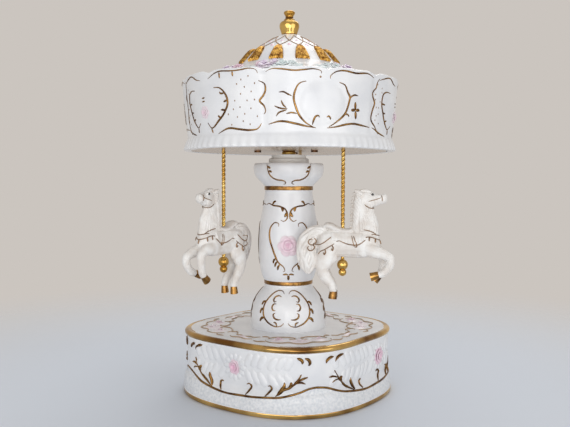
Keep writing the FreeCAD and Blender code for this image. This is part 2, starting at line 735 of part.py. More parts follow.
def face_tooth():
    """One tooth under the barrel's flange, on the +X side."""
    foot = FLANGE_BOTTOM - FACE_TOOTH_HEIGHT
    buried = FLANGE_BOTTOM + 0.5 * FLANGE_THICKNESS
    half_tip = FACE_TOOTH_HALF_TIP
    half_root = FACE_TOOTH_HALF_ROOT
    side = [V(0, half_tip, foot), V(0, half_root, FLANGE_BOTTOM), V(0, half_root, buried)]
    corners = side + [V(0, -point.y, point.z) for point in reversed(side)]
    profile = Part.Face(Part.makePolygon(corners + corners[:1]))
    tooth = profile.extrude(ACROSS * (FACE_TOOTH_OUTER - FACE_TOOTH_INNER))
    tooth.translate(ACROSS * FACE_TOOTH_INNER)
    return tooth


def spring_barrel():
    """Drum that holds the mainspring; teeth under its flange drive the tune, and its boss takes the shaft."""
    can = post(BARREL_RADIUS, BARREL_BOTTOM, FLANGE_BOTTOM)
    flange = post(FLANGE_RADIUS, FLANGE_BOTTOM, FLANGE_BOTTOM + FLANGE_THICKNESS)
    boss = post(BARREL_BOSS_RADIUS, FLANGE_BOTTOM, BARREL_BOSS_TOP)
    half_step = 180.0 / FACE_TEETH
    solid = can.fuse([flange, boss, *spread(face_tooth(), FACE_TEETH, half_step)])
    hollow = post(BARREL_RADIUS - BARREL_WALL, BARREL_BOTTOM - 1, FLANGE_BOTTOM - BARREL_WALL)
    socket = post(SHAFT_RADIUS + FIXED_GAP, SHAFT_BOTTOM - 0.2, BARREL_BOSS_TOP + 1)
    return solid.cut([hollow, socket])


def barrel_lid():
    """Disc pressed into the open bottom of the barrel."""
    top = BARREL_BOTTOM + BARREL_WALL
    lid = post(BARREL_RADIUS - BARREL_WALL - FIXED_GAP, BARREL_BOTTOM, top)
    return lid.cut(post(ARBOR_RADIUS + RUNNING_GAP, BARREL_BOTTOM - 1, top + 1))


def mainspring():
    """Flat steel spring, coiled in the barrel round the arbor."""
    inner = ARBOR_CORE_RADIUS + 0.5
    outer = BARREL_RADIUS - BARREL_WALL - 0.8
    steps = SPRING_TURNS * SPRING_STEPS_PER_TURN
    bottom = BARREL_BOTTOM + BARREL_WALL + 0.4
    curves = []
    for offset in (0.0, SPRING_THICKNESS):
        points = []
        for i in range(steps + 1):
            radius = inner + (outer - inner) * i / steps + offset
            points.append(place(radius, 360.0 * i / SPRING_STEPS_PER_TURN, bottom))
        curve = Part.BSplineCurve()
        curve.interpolate(points)
        curves.append(curve.toShape())
    ends = [Part.makeLine(curves[0].Vertexes[k].Point, curves[1].Vertexes[k].Point) for k in (0, 1)]
    face = Part.Face(Part.Wire(Part.__sortEdges__([*curves, *ends])))
    return face.extrude(UP * SPRING_HEIGHT)


def winding_arbor():
    """Axle that the key turns; its thick top end holds the inside of the mainspring."""
    core_bottom = BARREL_BOTTOM + BARREL_WALL + 0.2
    thin = post(ARBOR_RADIUS, KEY_BOTTOM + KEY_WING_HEIGHT - KEY_GRIP_DEPTH, core_bottom)
    core = post(ARBOR_CORE_RADIUS, core_bottom, FLANGE_BOTTOM - BARREL_WALL - 0.2)
    clutch = post(CLUTCH_RADIUS, BED_TOP + LOOSE_GAP, BARREL_BOTTOM - LOOSE_GAP)
    return thin.fuse([core, clutch])


def clutch_spring():
    """Wrapped spring of square wire that lets the arbor turn only one way."""
    middle = CLUTCH_RADIUS + RUNNING_GAP + CLUTCH_WIRE
    bottom = BED_TOP + CLUTCH_WIRE
    helix = Part.makeHelix(CLUTCH_PITCH, CLUTCH_TURNS * CLUTCH_PITCH, middle)
    corners = ((-1, -1), (1, -1), (1, 1), (-1, 1), (-1, -1))
    points = [V(middle + CLUTCH_WIRE * across, 0, CLUTCH_WIRE * up) for across, up in corners]
    coil = Part.Wire(helix.Edges).makePipeShell([Part.makePolygon(points)], True, True)
    coil.translate(UP * (bottom + 0.1))
    return coil


def winding_key():
    """Butterfly key on the threaded end of the arbor."""
    wing_radius = 0.5 * KEY_WING_HEIGHT
    middle = KEY_BOTTOM + wing_radius
    reach = 0.5 * KEY_SPAN - wing_radius
    half = 0.5 * KEY_THICKNESS
    half_web = 0.27 * KEY_WING_HEIGHT
    through = V(0, KEY_THICKNESS, 0)
    solids = [block((-reach, -half, middle - half_web), (reach, half, middle + half_web))]
    holes = [post(ARBOR_RADIUS + FIXED_GAP, KEY_BOTTOM + KEY_WING_HEIGHT - KEY_GRIP_DEPTH, BOARD_BOTTOM)]
    for side in (-1, 1):
        centre = V(side * reach, -half, middle)
        solids.append(rod(wing_radius, centre, centre + through))
        holes.append(rod(KEY_WING_HOLE, centre - through, centre + through * 2))
    collar = post(KEY_COLLAR_RADIUS, middle - 1, BOARD_BOTTOM - 1.2)
    return collar.fuse(solids).cut(holes)


# Turning part


def drive_shaft():
    """Long rod from the barrel to the finial, which turns everything above the column."""
    return post(SHAFT_RADIUS, SHAFT_BOTTOM, SHAFT_TOP)


def turntable_hub():
    """White stepped disc fixed to the shaft on top of the column."""
    bore = SHAFT_RADIUS + FIXED_GAP
    step = HUB_BOTTOM + HUB_STEP
    upper = HUB_RADIUS - 2.2
    return turned(
        [
            (bore, HUB_BOTTOM),
            (HUB_RADIUS, HUB_BOTTOM),
            (HUB_RADIUS, step - 1),
            (HUB_RADIUS - 1, step),
            (upper, step),
            (upper, HUB_TOP),
            (bore, HUB_TOP),
        ]
    )


def hub_collar():
    """Brass collar between the turntable and the floor of the canopy."""
    bore = SHAFT_RADIUS + FIXED_GAP
    middle = 0.5 * (HUB_TOP + FLOOR_BOTTOM)
    bulge = [(COLLAR_RADIUS - 0.8, HUB_TOP), (COLLAR_RADIUS, middle), (COLLAR_RADIUS - 0.8, FLOOR_BOTTOM)]
    return turned([(bore, HUB_TOP), bulge, (bore, FLOOR_BOTTOM)])


def pole_places(z):
    """The three pole axes."""
    return [place(HORSE_RADIUS, HORSE_AZIMUTH + 360.0 * i / HORSE_COUNT, z) for i in range(HORSE_COUNT)]


def plate_screw_places(z):
    """Three screws under the canopy, in line with the poles."""
    return [place(PLATE_SCREW_CIRCLE, HORSE_AZIMUTH + 360.0 * i / HORSE_COUNT, z) for i in range(HORSE_COUNT)]


def canopy_floor():
    """Disc that closes the canopy from below and carries the poles."""
    disc = post(FLOOR_RADIUS, FLOOR_BOTTOM, FLOOR_TOP)
    through = UP * (FLOOR_THICKNESS + 2)
    holes = [post(SHAFT_RADIUS + FIXED_GAP, FLOOR_BOTTOM - 1, FLOOR_TOP + 1)]
    for point in pole_places(FLOOR_BOTTOM - 1):
        holes.append(rod(POLE_RADIUS + FIXED_GAP, point, point + through))
    for point in plate_screw_places(FLOOR_BOTTOM - 1):
        holes.append(rod(PLATE_SCREW_RADIUS + SCREW_CLEARANCE, point, point + through))
    return disc.cut(holes)


def support_plate():
    """Steel plate on the shaft inside the canopy, which the floor is screwed to."""
    top = FLOOR_TOP + PLATE_THICKNESS
    disc = post(PLATE_RADIUS, FLOOR_TOP, top).fuse(post(PLATE_HUB_RADIUS, FLOOR_TOP, top + PLATE_HUB_HEIGHT))
    holes = [post(SHAFT_RADIUS + FIXED_GAP, FLOOR_TOP - 1, top + PLATE_HUB_HEIGHT + 1)]
    for point in plate_screw_places(FLOOR_TOP - 1):
        holes.append(rod(PLATE_SCREW_RADIUS + RUNNING_GAP, point, point + UP * (PLATE_THICKNESS + 2)))
    return disc.cut(holes)


def plate_screws():
    """Three screws through the floor into the plate."""
    length = FLOOR_THICKNESS + PLATE_THICKNESS + 1
    return [pan_screw(point, PLATE_SCREW_RADIUS, length, UP) for point in plate_screw_places(FLOOR_BOTTOM)]


def canopy_shell():
    """Porcelain canopy: flared hem, six-panelled wall, sloping roof and steep dome, hollow and open below."""
    wall_wires = []
    for z, radius in ((WALL_BOTTOM, CANOPY_RADIUS - WALL_TAPER), (CANOPY_TOP, CANOPY_RADIUS)):
        wall_wires.append(lobed(radius, CANOPY_PANELS, CANOPY_PANEL_SHARE, CANOPY_PANEL_AZIMUTH, z))
    wall = Part.makeLoft(wall_wires, True, True)
    parapet = CANOPY_RADIUS * (1 - CANOPY_PANEL_SHARE) - PORCELAIN
    wall = wall.cut(post(parapet, ROOF_EDGE, CANOPY_TOP + 1))
    hem_top = WALL_BOTTOM + 1
    hem_edge = HEM_RADIUS - 1
    hem = turned(
        [
            (0, CANOPY_BOTTOM),
            [(hem_edge, CANOPY_BOTTOM), (HEM_RADIUS, CANOPY_BOTTOM + 1.4), (HEM_RADIUS - HEM_FLARE, hem_top)],
            (0, hem_top),
        ]
    )
    roof = turned(
        [
            (0, ROOF_EDGE - 2),
            (parapet + 1, ROOF_EDGE - 2),
            (parapet + 1, ROOF_EDGE),
            [
                (parapet, ROOF_EDGE),
                (ROOF_BEND_RADIUS, ROOF_BEND),
                (DOME_FOOT_RADIUS, DOME_FOOT),
                (DOME_RADIUS, DOME_BOTTOM),
                (0.833 * DOME_RADIUS, DOME_BOTTOM + 6.8),
                (0.614 * DOME_RADIUS, DOME_BOTTOM + 13.4),
                (0.4 * DOME_RADIUS, DOME_BOTTOM + 18.2),
                (DOME_CROWN_RADIUS, DOME_TOP),
            ],
            (0, DOME_TOP),
        ]
    )
    hollow = turned(
        [
            (0, CANOPY_BOTTOM - 1),
            (FLOOR_RADIUS + 0.2, CANOPY_BOTTOM - 1),
            (FLOOR_RADIUS + 0.2, FLOOR_TOP),
            (FLOOR_RADIUS - 1.5, FLOOR_TOP),
            (FLOOR_RADIUS - 0.5, ROOF_EDGE - PORCELAIN),
            (ROOF_BEND_RADIUS, ROOF_BEND - PORCELAIN - 0.3),
            (DOME_FOOT_RADIUS - 2, DOME_FOOT - PORCELAIN),
            (0.685 * DOME_RADIUS, DOME_BOTTOM + 6.6),
            (0.4 * DOME_RADIUS - PORCELAIN, DOME_CEILING),
            (0, DOME_CEILING),
        ]
    )
    return wall.fuse([hem, roof]).cut(hollow.fuse(post(SHAFT_RADIUS + 0.2, DOME_BOTTOM, DOME_TOP + 1)))


def finial():
    """Turned brass knob, screwed on to the top of the shaft to hold the canopy down."""
    rise = TOTAL_HEIGHT - DOME_TOP
    bulb = [(5.9, 0.0), (6.6, 0.17), (7.6, 0.38), (6.4, 0.54), (4.3, 0.59)]
    neck = [(4.3, 0.64), (3.1, 0.71), (3.3, 0.79), (4.3, 0.87)]
    cap = [(4.3, 0.91), (3.2, 0.97), (0, 1.0)]
    curves = [[(radius, DOME_TOP + rise * up) for radius, up in curve] for curve in (bulb, neck, cap)]
    knob = turned([(0, DOME_TOP), *curves])
    return knob.cut(post(SHAFT_RADIUS + FIXED_GAP, DOME_TOP - 1, SHAFT_TOP + 0.2))


def poles():
    """The three brass poles, through the floor of the canopy and the horses."""
    length = FLOOR_TOP + POLE_ABOVE_FLOOR - POLE_BOTTOM
    return [rod(POLE_RADIUS, point, point + UP * length) for point in pole_places(POLE_BOTTOM)]


def pole_nuts():
    """Nuts that hold the poles on top of the canopy's floor."""
    nuts = []
    for point in pole_places(0):
        nut = hexagon_nut(POLE_NUT_ACROSS_FLATS, POLE_RADIUS + FIXED_GAP, FLOOR_TOP, POLE_NUT_HEIGHT)
        nut.translate(point)
        nuts.append(nut)
    return nuts


def pole_balls():
    """Double-ball ends screwed on under the horses."""
    balls = []
    for point in pole_places(0):
        ball = Part.makeSphere(BALL_RADIUS, point + UP * BALL_CENTRE)
        small = Part.makeSphere(SMALL_BALL_RADIUS, point + UP * SMALL_BALL_CENTRE)
        bore = rod(POLE_RADIUS + FIXED_GAP, point + UP * (POLE_BOTTOM - 0.2), point + UP * (BALL_CENTRE + 5))
        balls.append(ball.fuse(small).cut(bore))
    return balls


# Horses: +X is forward in the horse's own frame, and the pole is its upright axis


def horse_body():
    """Barrel of the horse from rump to breast."""
    return limb(
        [
            (-18.5, 0, 113.5, 2.6, 3.2),
            (-16.5, 0, 113.5, 5.6, 7.2),
            (-11, 0, 114, 7.4, 10.2),
            (-3, 0, 114.5, 7.2, 10.2),
            (6, 0, 114.5, 7.0, 10.2),
            (15, 0, 115, 7.2, 10.6),
            (22, 0, 116, 6.4, 9.4),
            (26.5, 0, 117, 4.2, 6.6),
            (28.2, 0, 117.5, 1.8, 3.4),
        ]
    )


def horse_neck():
    """Arched neck, thick at the breast."""
    return limb(
        [
            (14, 0, 112, 6.0, 10.0),
            (16.2, 0, 121, 5.6, 10.6),
            (16.6, 0, 129, 4.8, 9.8),
            (16.0, 0, 136.5, 4.2, 8.4),
            (15.6, 0, 143, 3.8, 6.4),
            (15.6, 0, 148.5, 3.2, 4.4),
            (15.8, 0, 151.5, 1.8, 2.4),
        ]
    )


def horse_head():
    """Head, from the poll to the muzzle."""
    return limb(
        [
            (12.4, 0, 148.6, 2.6, 3.4),
            (15.5, 0, 147.8, 3.9, 5.4),
            (19.4, 0, 146.5, 4.0, 6.0),
            (23.0, 0, 146.0, 3.5, 5.2),
            (26.4, 0, 146.3, 2.9, 4.0),
            (29.4, 0, 146.8, 2.6, 3.0),
            (31.2, 0, 147.0, 1.5, 1.8),
        ]
    )


def horse_legs():
    """Two folded front legs and two hind legs drawn under the body."""
    legs = []
    for side, ahead in ((1, 0.0), (-1, -3.0)):
        legs.append(
            limb(
                [
                    (18 + ahead, 3.6 * side, 112, 4.4, 5.4),
                    (25 + ahead, 4.4 * side, 108.6, 3.9, 4.6),
                    (31.5 + ahead, 4.8 * side, 107.2, 3.1, 3.6),
                    (36.4 + ahead, 4.9 * side, 104.6, 2.7, 3.0),
                    (36.2 + ahead, 4.9 * side, 100.0, 2.2, 2.5),
                    (33.8 + ahead, 4.9 * side, 95.6, 1.8, 2.0),
                    (31.0 + ahead, 4.8 * side, 92.2, 2.0, 2.2),
                    (28.2 + ahead, 4.8 * side, 90.6, 2.2, 2.6),
                    (24.4 + ahead, 4.8 * side, 90.4, 2.6, 3.0),
                ]
            )
        )
        legs.append(
            limb(
                [
                    (-10 - ahead, 3.2 * side, 110, 5.0, 7.0),
                    (-12.8 - ahead, 4.2 * side, 102, 4.4, 6.6),
                    (-14.4 - ahead, 4.6 * side, 95.5, 3.4, 4.4),
                    (-11.8 - ahead, 4.6 * side, 89.5, 2.6, 3.1),
                    (-8.6 - ahead, 4.6 * side, 84.4, 2.2, 2.4),
                    (-7.8 - ahead, 4.6 * side, 80.6, 2.0, 2.2),
                    (-8.1 - ahead, 4.6 * side, 77.6, 2.4, 2.9),
                    (-8.4 - ahead, 4.6 * side, 74.8, 2.6, 3.2),
                ]
            )
        )
    return legs


def horse_tail():
    """Full tail, thrown up from the croup and hanging behind."""
    return limb(
        [
            (-11, 0, 120.5, 2.2, 2.6),
            (-15, 0, 124.2, 3.4, 3.6),
            (-20.5, 0, 123.0, 4.2, 5.0),
            (-25.0, 0, 117.6, 4.6, 6.8),
            (-26.4, 0, 110.5, 4.8, 7.6),
            (-25.6, 0, 103.5, 4.6, 7.4),
            (-25.2, 0, 97.4, 3.6, 5.4),
            (-25.2, 0, 92.8, 1.6, 2.0),
        ]
    )


def horse_saddle():
    """Saddle with a raised back, on the top of the body."""
    return limb(
        [
            (-12.5, 0, 125.6, 4.2, 2.4),
            (-8.5, 0, 126.0, 5.0, 3.0),
            (-3.5, 0, 124.4, 5.4, 2.4),
            (4.5, 0, 123.8, 5.0, 2.2),
            (9.0, 0, 124.8, 3.6, 2.2),
        ]
    )


def horse_ears():
    """Two small ears laid back."""
    return [
        limb(
            [
                (14.4, 2.4 * side, 151.0, 1.3, 1.3),
                (12.6, 2.8 * side, 153.2, 1.2, 1.1),
                (11.0, 3.0 * side, 154.8, 0.4, 0.4),
            ]
        )
        for side in (-1, 1)
    ]


def horse():
    """One horse on the axis, pierced for its pole and hollowed to sit on the ball under it."""
    pieces = [horse_neck(), horse_head(), horse_tail(), horse_saddle(), *horse_legs(), *horse_ears()]
    solid = horse_body().fuse(pieces)
    pole_hole = post(POLE_RADIUS + RUNNING_GAP, POLE_BOTTOM, CAPITAL_FLOOR)
    seat = Part.makeSphere(BALL_RADIUS + 0.1, V(0, 0, BALL_CENTRE))
    return solid.cut(pole_hole.fuse(seat))


def horses():
    """The three horses at their poles, all turned alike from the way out."""
    made = horse()
    placed = []
    for i, point in enumerate(pole_places(0)):
        copy = made.copy()
        outward = HORSE_AZIMUTH + 360.0 * i / HORSE_COUNT - 90
        copy.rotate(V(), UP, outward + HORSE_TURN_FROM_RADIAL)
        copy.translate(point)
        placed.append(copy)
    return placed


def write(name, shapes):
    """Writes one node, and says so if a solid is not sound."""
    shapes = shapes if isinstance(shapes, list) else [shapes]
    solids = [solid for shape in shapes for solid in shape.Solids]
    sound = all(solid.isValid() and solid.Volume > 0 for solid in solids)
    if len(solids) != len(shapes) or not sound:
        print(f"{name}: {len(solids)} solids from {len(shapes)} shapes, sound {sound}")
    whole = solids[0] if len(solids) == 1 else Part.makeCompound(solids)
    whole.exportStep(os.path.join("parts", f"{name}.step"))


SINGLE_NODES = (
    base_shell,
    column_foot,
    column_vase,
    column_capital,
    column_tube,
    tube_washers,
    tube_nuts,
    lower_bush,
    upper_bush,
    bottom_board,
    corner_blocks,
    board_screws,
    bedplate,
    movement_screws,
    comb,
    comb_screws,
    pin_cylinder,
    cylinder_arbor,
    cylinder_pinion,
    cylinder_wheel,
    train_wheel,
    governor_bracket,
    governor_screw,
    governor_worm,
    governor_fan,
    spring_barrel,
    barrel_lid,
    mainspring,
    winding_arbor,
    clutch_spring,
    winding_key,
    drive_shaft,
    turntable_hub,
    hub_collar,
    canopy_floor,
    support_plate,
    plate_screws,
    canopy_shell,
    finial,
    pole_nuts,
    pole_balls,
)
HORSE_NAMES = ("left", "right", "rear")


def main():
    """Writes every node."""
    os.makedirs("parts", exist_ok=True)
    for make in SINGLE_NODES:
        write(make.__name__, make())
    for side, pole, animal in zip(HORSE_NAMES, poles(), horses()):
        write(f"pole_{side}", pole)
        write(f"horse_{side}", animal)


main()
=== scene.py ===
import json
import math

import bpy
import numpy as np
from bpy.props import FloatProperty, FloatVectorProperty, IntProperty, PointerProperty
from mathutils import Euler, Matrix, Vector
from mathutils.bvhtree import BVHTree


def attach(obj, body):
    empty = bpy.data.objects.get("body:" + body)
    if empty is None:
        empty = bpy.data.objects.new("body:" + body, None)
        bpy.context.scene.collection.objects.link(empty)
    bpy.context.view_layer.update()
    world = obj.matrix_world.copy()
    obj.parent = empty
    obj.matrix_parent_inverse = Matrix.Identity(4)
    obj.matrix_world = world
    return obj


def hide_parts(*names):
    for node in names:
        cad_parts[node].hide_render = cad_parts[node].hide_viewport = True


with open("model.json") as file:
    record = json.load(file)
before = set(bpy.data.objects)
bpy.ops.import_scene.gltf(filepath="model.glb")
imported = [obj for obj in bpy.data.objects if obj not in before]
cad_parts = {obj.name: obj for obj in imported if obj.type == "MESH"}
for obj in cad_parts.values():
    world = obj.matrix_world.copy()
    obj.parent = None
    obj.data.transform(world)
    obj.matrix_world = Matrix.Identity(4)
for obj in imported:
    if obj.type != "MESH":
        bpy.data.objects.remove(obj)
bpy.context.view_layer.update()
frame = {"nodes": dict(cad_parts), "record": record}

bl_info = {
    "name": "Carousel music box looks",
    "version": (1, 0, 0),
    "blender": (4, 5, 0),
    "location": "3D View > Sidebar > Music box",
    "description": "Porcelain, gilding and horses of a wind-up carousel music box on its CAD frame",
    "category": "Object",
}

MM = 0.001


def linear(text):
    """The linear red, green and blue of an sRGB hex colour."""
    parts = [int(text[i:i + 2], 16) / 255 for i in (1, 3, 5)]
    return tuple(p / 12.92 if p <= 0.04045 else ((p + 0.055) / 1.055) ** 2.4 for p in parts)


# Turned outlines, (radius, height) in millimetres, in the order in which they are drawn round.
FOOT_OUTLINE = [
    (29.0, 48.0), (29.1, 50.5), (28.9, 54.0), (28.6, 57.5), (28.2, 61.0), (27.6, 64.5),
    (26.7, 67.5), (25.3, 70.2), (23.4, 73.0), (21.4, 75.5), (19.6, 77.7), (18.5, 79.2),
    (18.3, 81.0),
]
VASE_OUTLINE = [(18.3, 81.0), (18.35, 83.5)] + [
    (18.3 + 4.7 * bulge, 81 + 72 * rise)
    for rise, bulge in (
        (0.055, 0.16), (0.08, 0.36), (0.12, 0.56), (0.2, 0.78), (0.27, 0.9), (0.33, 0.96),
        (0.4, 0.99), (0.46, 1.0), (0.53, 0.96), (0.6, 0.88), (0.67, 0.72), (0.74, 0.52), (0.8, 0.35),
        (0.87, 0.2), (0.93, 0.08),
    )
] + [(18.3, 150.5), (18.3, 153.0)]
CAPITAL_OUTLINE = [
    (18.3, 153.0), (18.4, 155.2), (19.4, 157.0), (21.0, 158.8), (23.0, 161.0), (24.6, 163.2),
    (25.5, 165.6), (26.0, 168.4), (26.0, 170.6), (25.7, 172.2), (25.0, 173.0),
]
WALL_OUTLINE = [(75.6, 11.0), (74.4, 14.0), (73.4, 15.6), (72.9, 17.2), (72.9, 30.0), (72.9, 42.4)]
BASE_OUTER = [
    (70.6, 0.0), (76.4, 0.0), (77.2, 0.25), (77.5, 0.9), (77.5, 2.6), (77.3, 3.2), (76.9, 3.5),
    (76.9, 3.8), (77.1, 4.2), (76.9, 6.0), (76.3, 8.4), (75.6, 11.0), (74.4, 14.0), (73.4, 15.6),
    (72.9, 17.2), (72.9, 43.0), (72.7, 43.5),
]
DECK_OUTLINE = [
    (71.4, 47.9), (70.9, 47.8), (70.2, 48.0), (60.0, 48.0), (48.0, 48.0), (34.0, 48.0),
    (20.0, 48.0), (6.6, 48.0),
]
BASE_INNER = [
    (6.6, 44.0), (60.0, 44.0), (68.5, 44.0), (69.5, 43.0), (69.5, 20.0), (69.5, 1.0), (69.9, 0.2),
]
HEM_OUTLINE = [
    (74.8, 182.0), (79.0, 182.0), (79.7, 182.4), (80.0, 183.3), (79.6, 184.8), (78.9, 187.0),
    (78.1, 189.4), (77.5, 190.6), (77.2, 191.2),
]
SKIRT_OUTLINE = [(77.2, 191.2), (77.15, 192.5), (79.2, 212.0), (81.2, 231.4), (81.5, 234.4)]
EDGE_OUTLINE = [
    (81.5, 233.2), (81.4, 234.1), (80.8, 234.5), (79.9, 234.3), (79.2, 233.4), (78.2, 232.2),
    (77.4, 231.5),
]
SKIRT_INNER = [(74.4, 229.4), (73.4, 210.0), (73.2, 187.2), (74.3, 185.8), (74.3, 182.3)]
ROOF_OUTLINE = [
    (77.2, 231.6), (66.0, 234.4), (54.0, 238.0), (45.0, 241.8), (39.6, 245.0), (36.5, 248.0),
    (33.4, 251.5), (30.4, 254.8), (27.2, 257.6), (22.4, 261.4), (17.4, 264.6), (12.6, 267.5),
    (8.3, 269.9),
]
ROOF_CLOSING = [
    (7.4, 270.1), (2.4, 270.1), (2.4, 266.6), (7.0, 265.2), (16.0, 260.2), (25.0, 254.4),
    (33.6, 245.6), (39.0, 240.8), (54.0, 234.2), (74.6, 228.8),
]
FINIAL_OUTLINE = [
    (0.0004, 270.0), (5.9, 270.0), (6.0, 271.2), (6.6, 273.2), (7.3, 275.4), (7.6, 277.3),
    (7.3, 279.0), (6.4, 280.3), (4.9, 281.0), (4.3, 281.2), (4.3, 282.0), (3.6, 282.5),
    (3.0, 283.6), (3.1, 284.8), (3.8, 286.0), (4.3, 286.9), (4.25, 287.8), (3.5, 288.5),
    (2.0, 288.9), (0.0004, 289.0),
]

# Heights where the knob is coloured dark brown: painted shade in its groove, neck and foot.
FINIAL_PAINTED_SHADE = ((280.5, 281.3), (282.5, 284.0), (0.0, 270.9))

# Lines of gilding, each a width in millimetres and points of (azimuth from the middle, height).
ROSE_PANEL = (
    (0.9, ((-26.5, 229.4), (-22.6, 230.9), (-15.4, 232.5), (-10.8, 229.4), (-6.8, 228.2))),
    (0.9, ((-1.0, 228.7), (2.1, 231.1), (6.7, 232.7), (12.6, 232.6), (18.1, 232.8), (23.4, 233.4),
           (26.2, 232.5), (27.1, 229.9))),
    (1.0, ((6.8, 232.4), (6.9, 227.8))),
    (1.0, ((14.1, 232.6), (14.3, 228.5))),
    (1.2, ((-13.1, 222.2), (-18.5, 222.3), (-21.3, 220.7), (-22.3, 214.4), (-20.2, 207.7),
           (-16.6, 200.3), (-12.6, 196.5), (-9.3, 199.6))),
    (1.0, ((-12.6, 196.5), (-12.4, 192.6))),
    (1.3, ((2.4, 222.4), (6.4, 221.8), (9.9, 216.9), (10.8, 212.1), (8.8, 205.8), (5.0, 200.4),
           (-0.8, 195.6), (-3.0, 199.5))),
    (1.0, ((-0.8, 195.6), (0.4, 191.7))),
    (1.1, ((9.3, 218.2), (6.6, 218.4), (6.2, 219.6))),
    (1.2, ((10.7, 213.6), (8.2, 212.2))),
    (1.2, ((9.3, 207.0), (6.4, 207.2))),
    (1.2, ((6.2, 201.8), (4.4, 203.6))),
    (1.1, ((-22.2, 213.9), (-18.3, 213.4))),
    (1.1, ((-20.2, 207.8), (-17.4, 207.3))),
    (1.1, ((-17.4, 201.6), (-15.0, 202.8))),
    (0.9, ((-6.2, 216.0), (-3.4, 216.3))),
    (0.9, ((-6.2, 213.6), (-3.4, 213.9))),
    (1.0, ((-29.1, 196.8), (-22.6, 193.4), (-15.4, 191.3))),
    (1.2, ((3.7, 191.2), (10.7, 194.7), (16.6, 193.8), (22.3, 193.1), (26.3, 194.0),
           (28.4, 197.6))),
    (1.1, ((27.0, 225.4), (30.1, 223.0), (30.4, 218.5), (29.3, 215.4), (27.6, 212.2), (29.8, 208.5),
           (30.3, 204.9), (29.4, 203.1))),
)
SHIELD_PANEL = (
    (1.0, ((-29.5, 231.6), (-27.5, 232.7), (-22.3, 232.5), (-15.2, 231.6), (-10.6, 232.1),
           (-6.4, 232.5), (-3.0, 230.9), (-3.2, 229.6))),
    (1.1, ((1.5, 226.4), (1.4, 228.3), (3.6, 231.2), (6.8, 232.3), (15.8, 231.8), (23.7, 232.5),
           (29.0, 231.0))),
    (1.2, ((-9.8, 224.6), (-13.0, 223.3), (-15.3, 217.9), (-15.8, 213.9), (-14.8, 208.0),
           (-13.1, 202.6), (-9.8, 197.7), (-5.4, 194.4))),
    (1.1, ((-6.6, 196.0), (-6.1, 199.6), (-5.2, 201.9), (-3.9, 202.3), (-3.4, 200.8))),
    (1.3, ((5.9, 224.7), (9.4, 223.0), (11.4, 218.2), (12.7, 215.8), (12.3, 211.8), (10.4, 204.5),
           (6.2, 199.2), (1.6, 195.0))),
    (1.0, ((12.6, 213.4), (13.6, 215.9), (15.3, 217.1), (18.2, 216.9))),
    (1.0, ((9.3, 202.9), (11.2, 204.2), (12.4, 203.6), (13.1, 202.2))),
    (1.0, ((0.0, 201.2), (1.2, 202.2), (2.2, 200.6), (2.3, 199.6))),
    (1.2, ((0.6, 194.4), (6.4, 195.7), (10.8, 197.2), (16.2, 198.1), (21.7, 197.5), (29.3, 196.5))),
    (1.2, ((-28.5, 196.6), (-22.4, 198.6), (-14.9, 197.1), (-9.4, 195.4), (-4.6, 194.4))),
    (1.8, ((16.9, 206.9), (16.6, 209.6), (16.4, 212.9))),
    (1.8, ((16.9, 206.9), (17.2, 204.0), (17.5, 201.0))),
    (1.8, ((16.9, 206.9), (15.4, 207.2), (13.8, 206.8))),
    (1.8, ((16.9, 206.9), (18.4, 207.4), (19.9, 207.2))),
    (0.9, ((-25.4, 208.8), (-22.8, 207.3), (-20.2, 206.7), (-18.6, 207.0))),
    (0.9, ((-21.9, 212.6), (-21.0, 209.6), (-19.2, 207.1))),
    (0.9, ((-24.4, 201.6), (-23.0, 204.2), (-20.6, 205.4), (-18.8, 206.2))),
    (0.9, ((-23.2, 217.4), (-20.6, 217.6), (-18.4, 216.0), (-16.4, 214.8))),
    (0.9, ((-19.6, 203.4), (-16.8, 204.2), (-14.0, 203.4))),
    (1.1, ((33.9, 231.2), (32.0, 227.5), (31.7, 224.3), (29.2, 220.3), (31.4, 213.3), (30.3, 208.4),
           (29.6, 203.1), (33.4, 197.1), (37.1, 192.1))),
)
VINE = (
    (-76.2, 20.45), (-75.0, 20.4), (-69.5, 19.4), (-64.0, 16.8), (-58.0, 14.6), (-53.1, 13.6),
    (-46.1, 12.4), (-37.1, 11.5), (-27.8, 12.0), (-18.7, 12.5), (-10.8, 13.4), (-4.0, 14.2),
    (0.4, 15.5), (6.1, 17.6), (10.5, 19.8), (15.0, 20.5), (16.2, 20.4),
)
VINE_START = -75.0
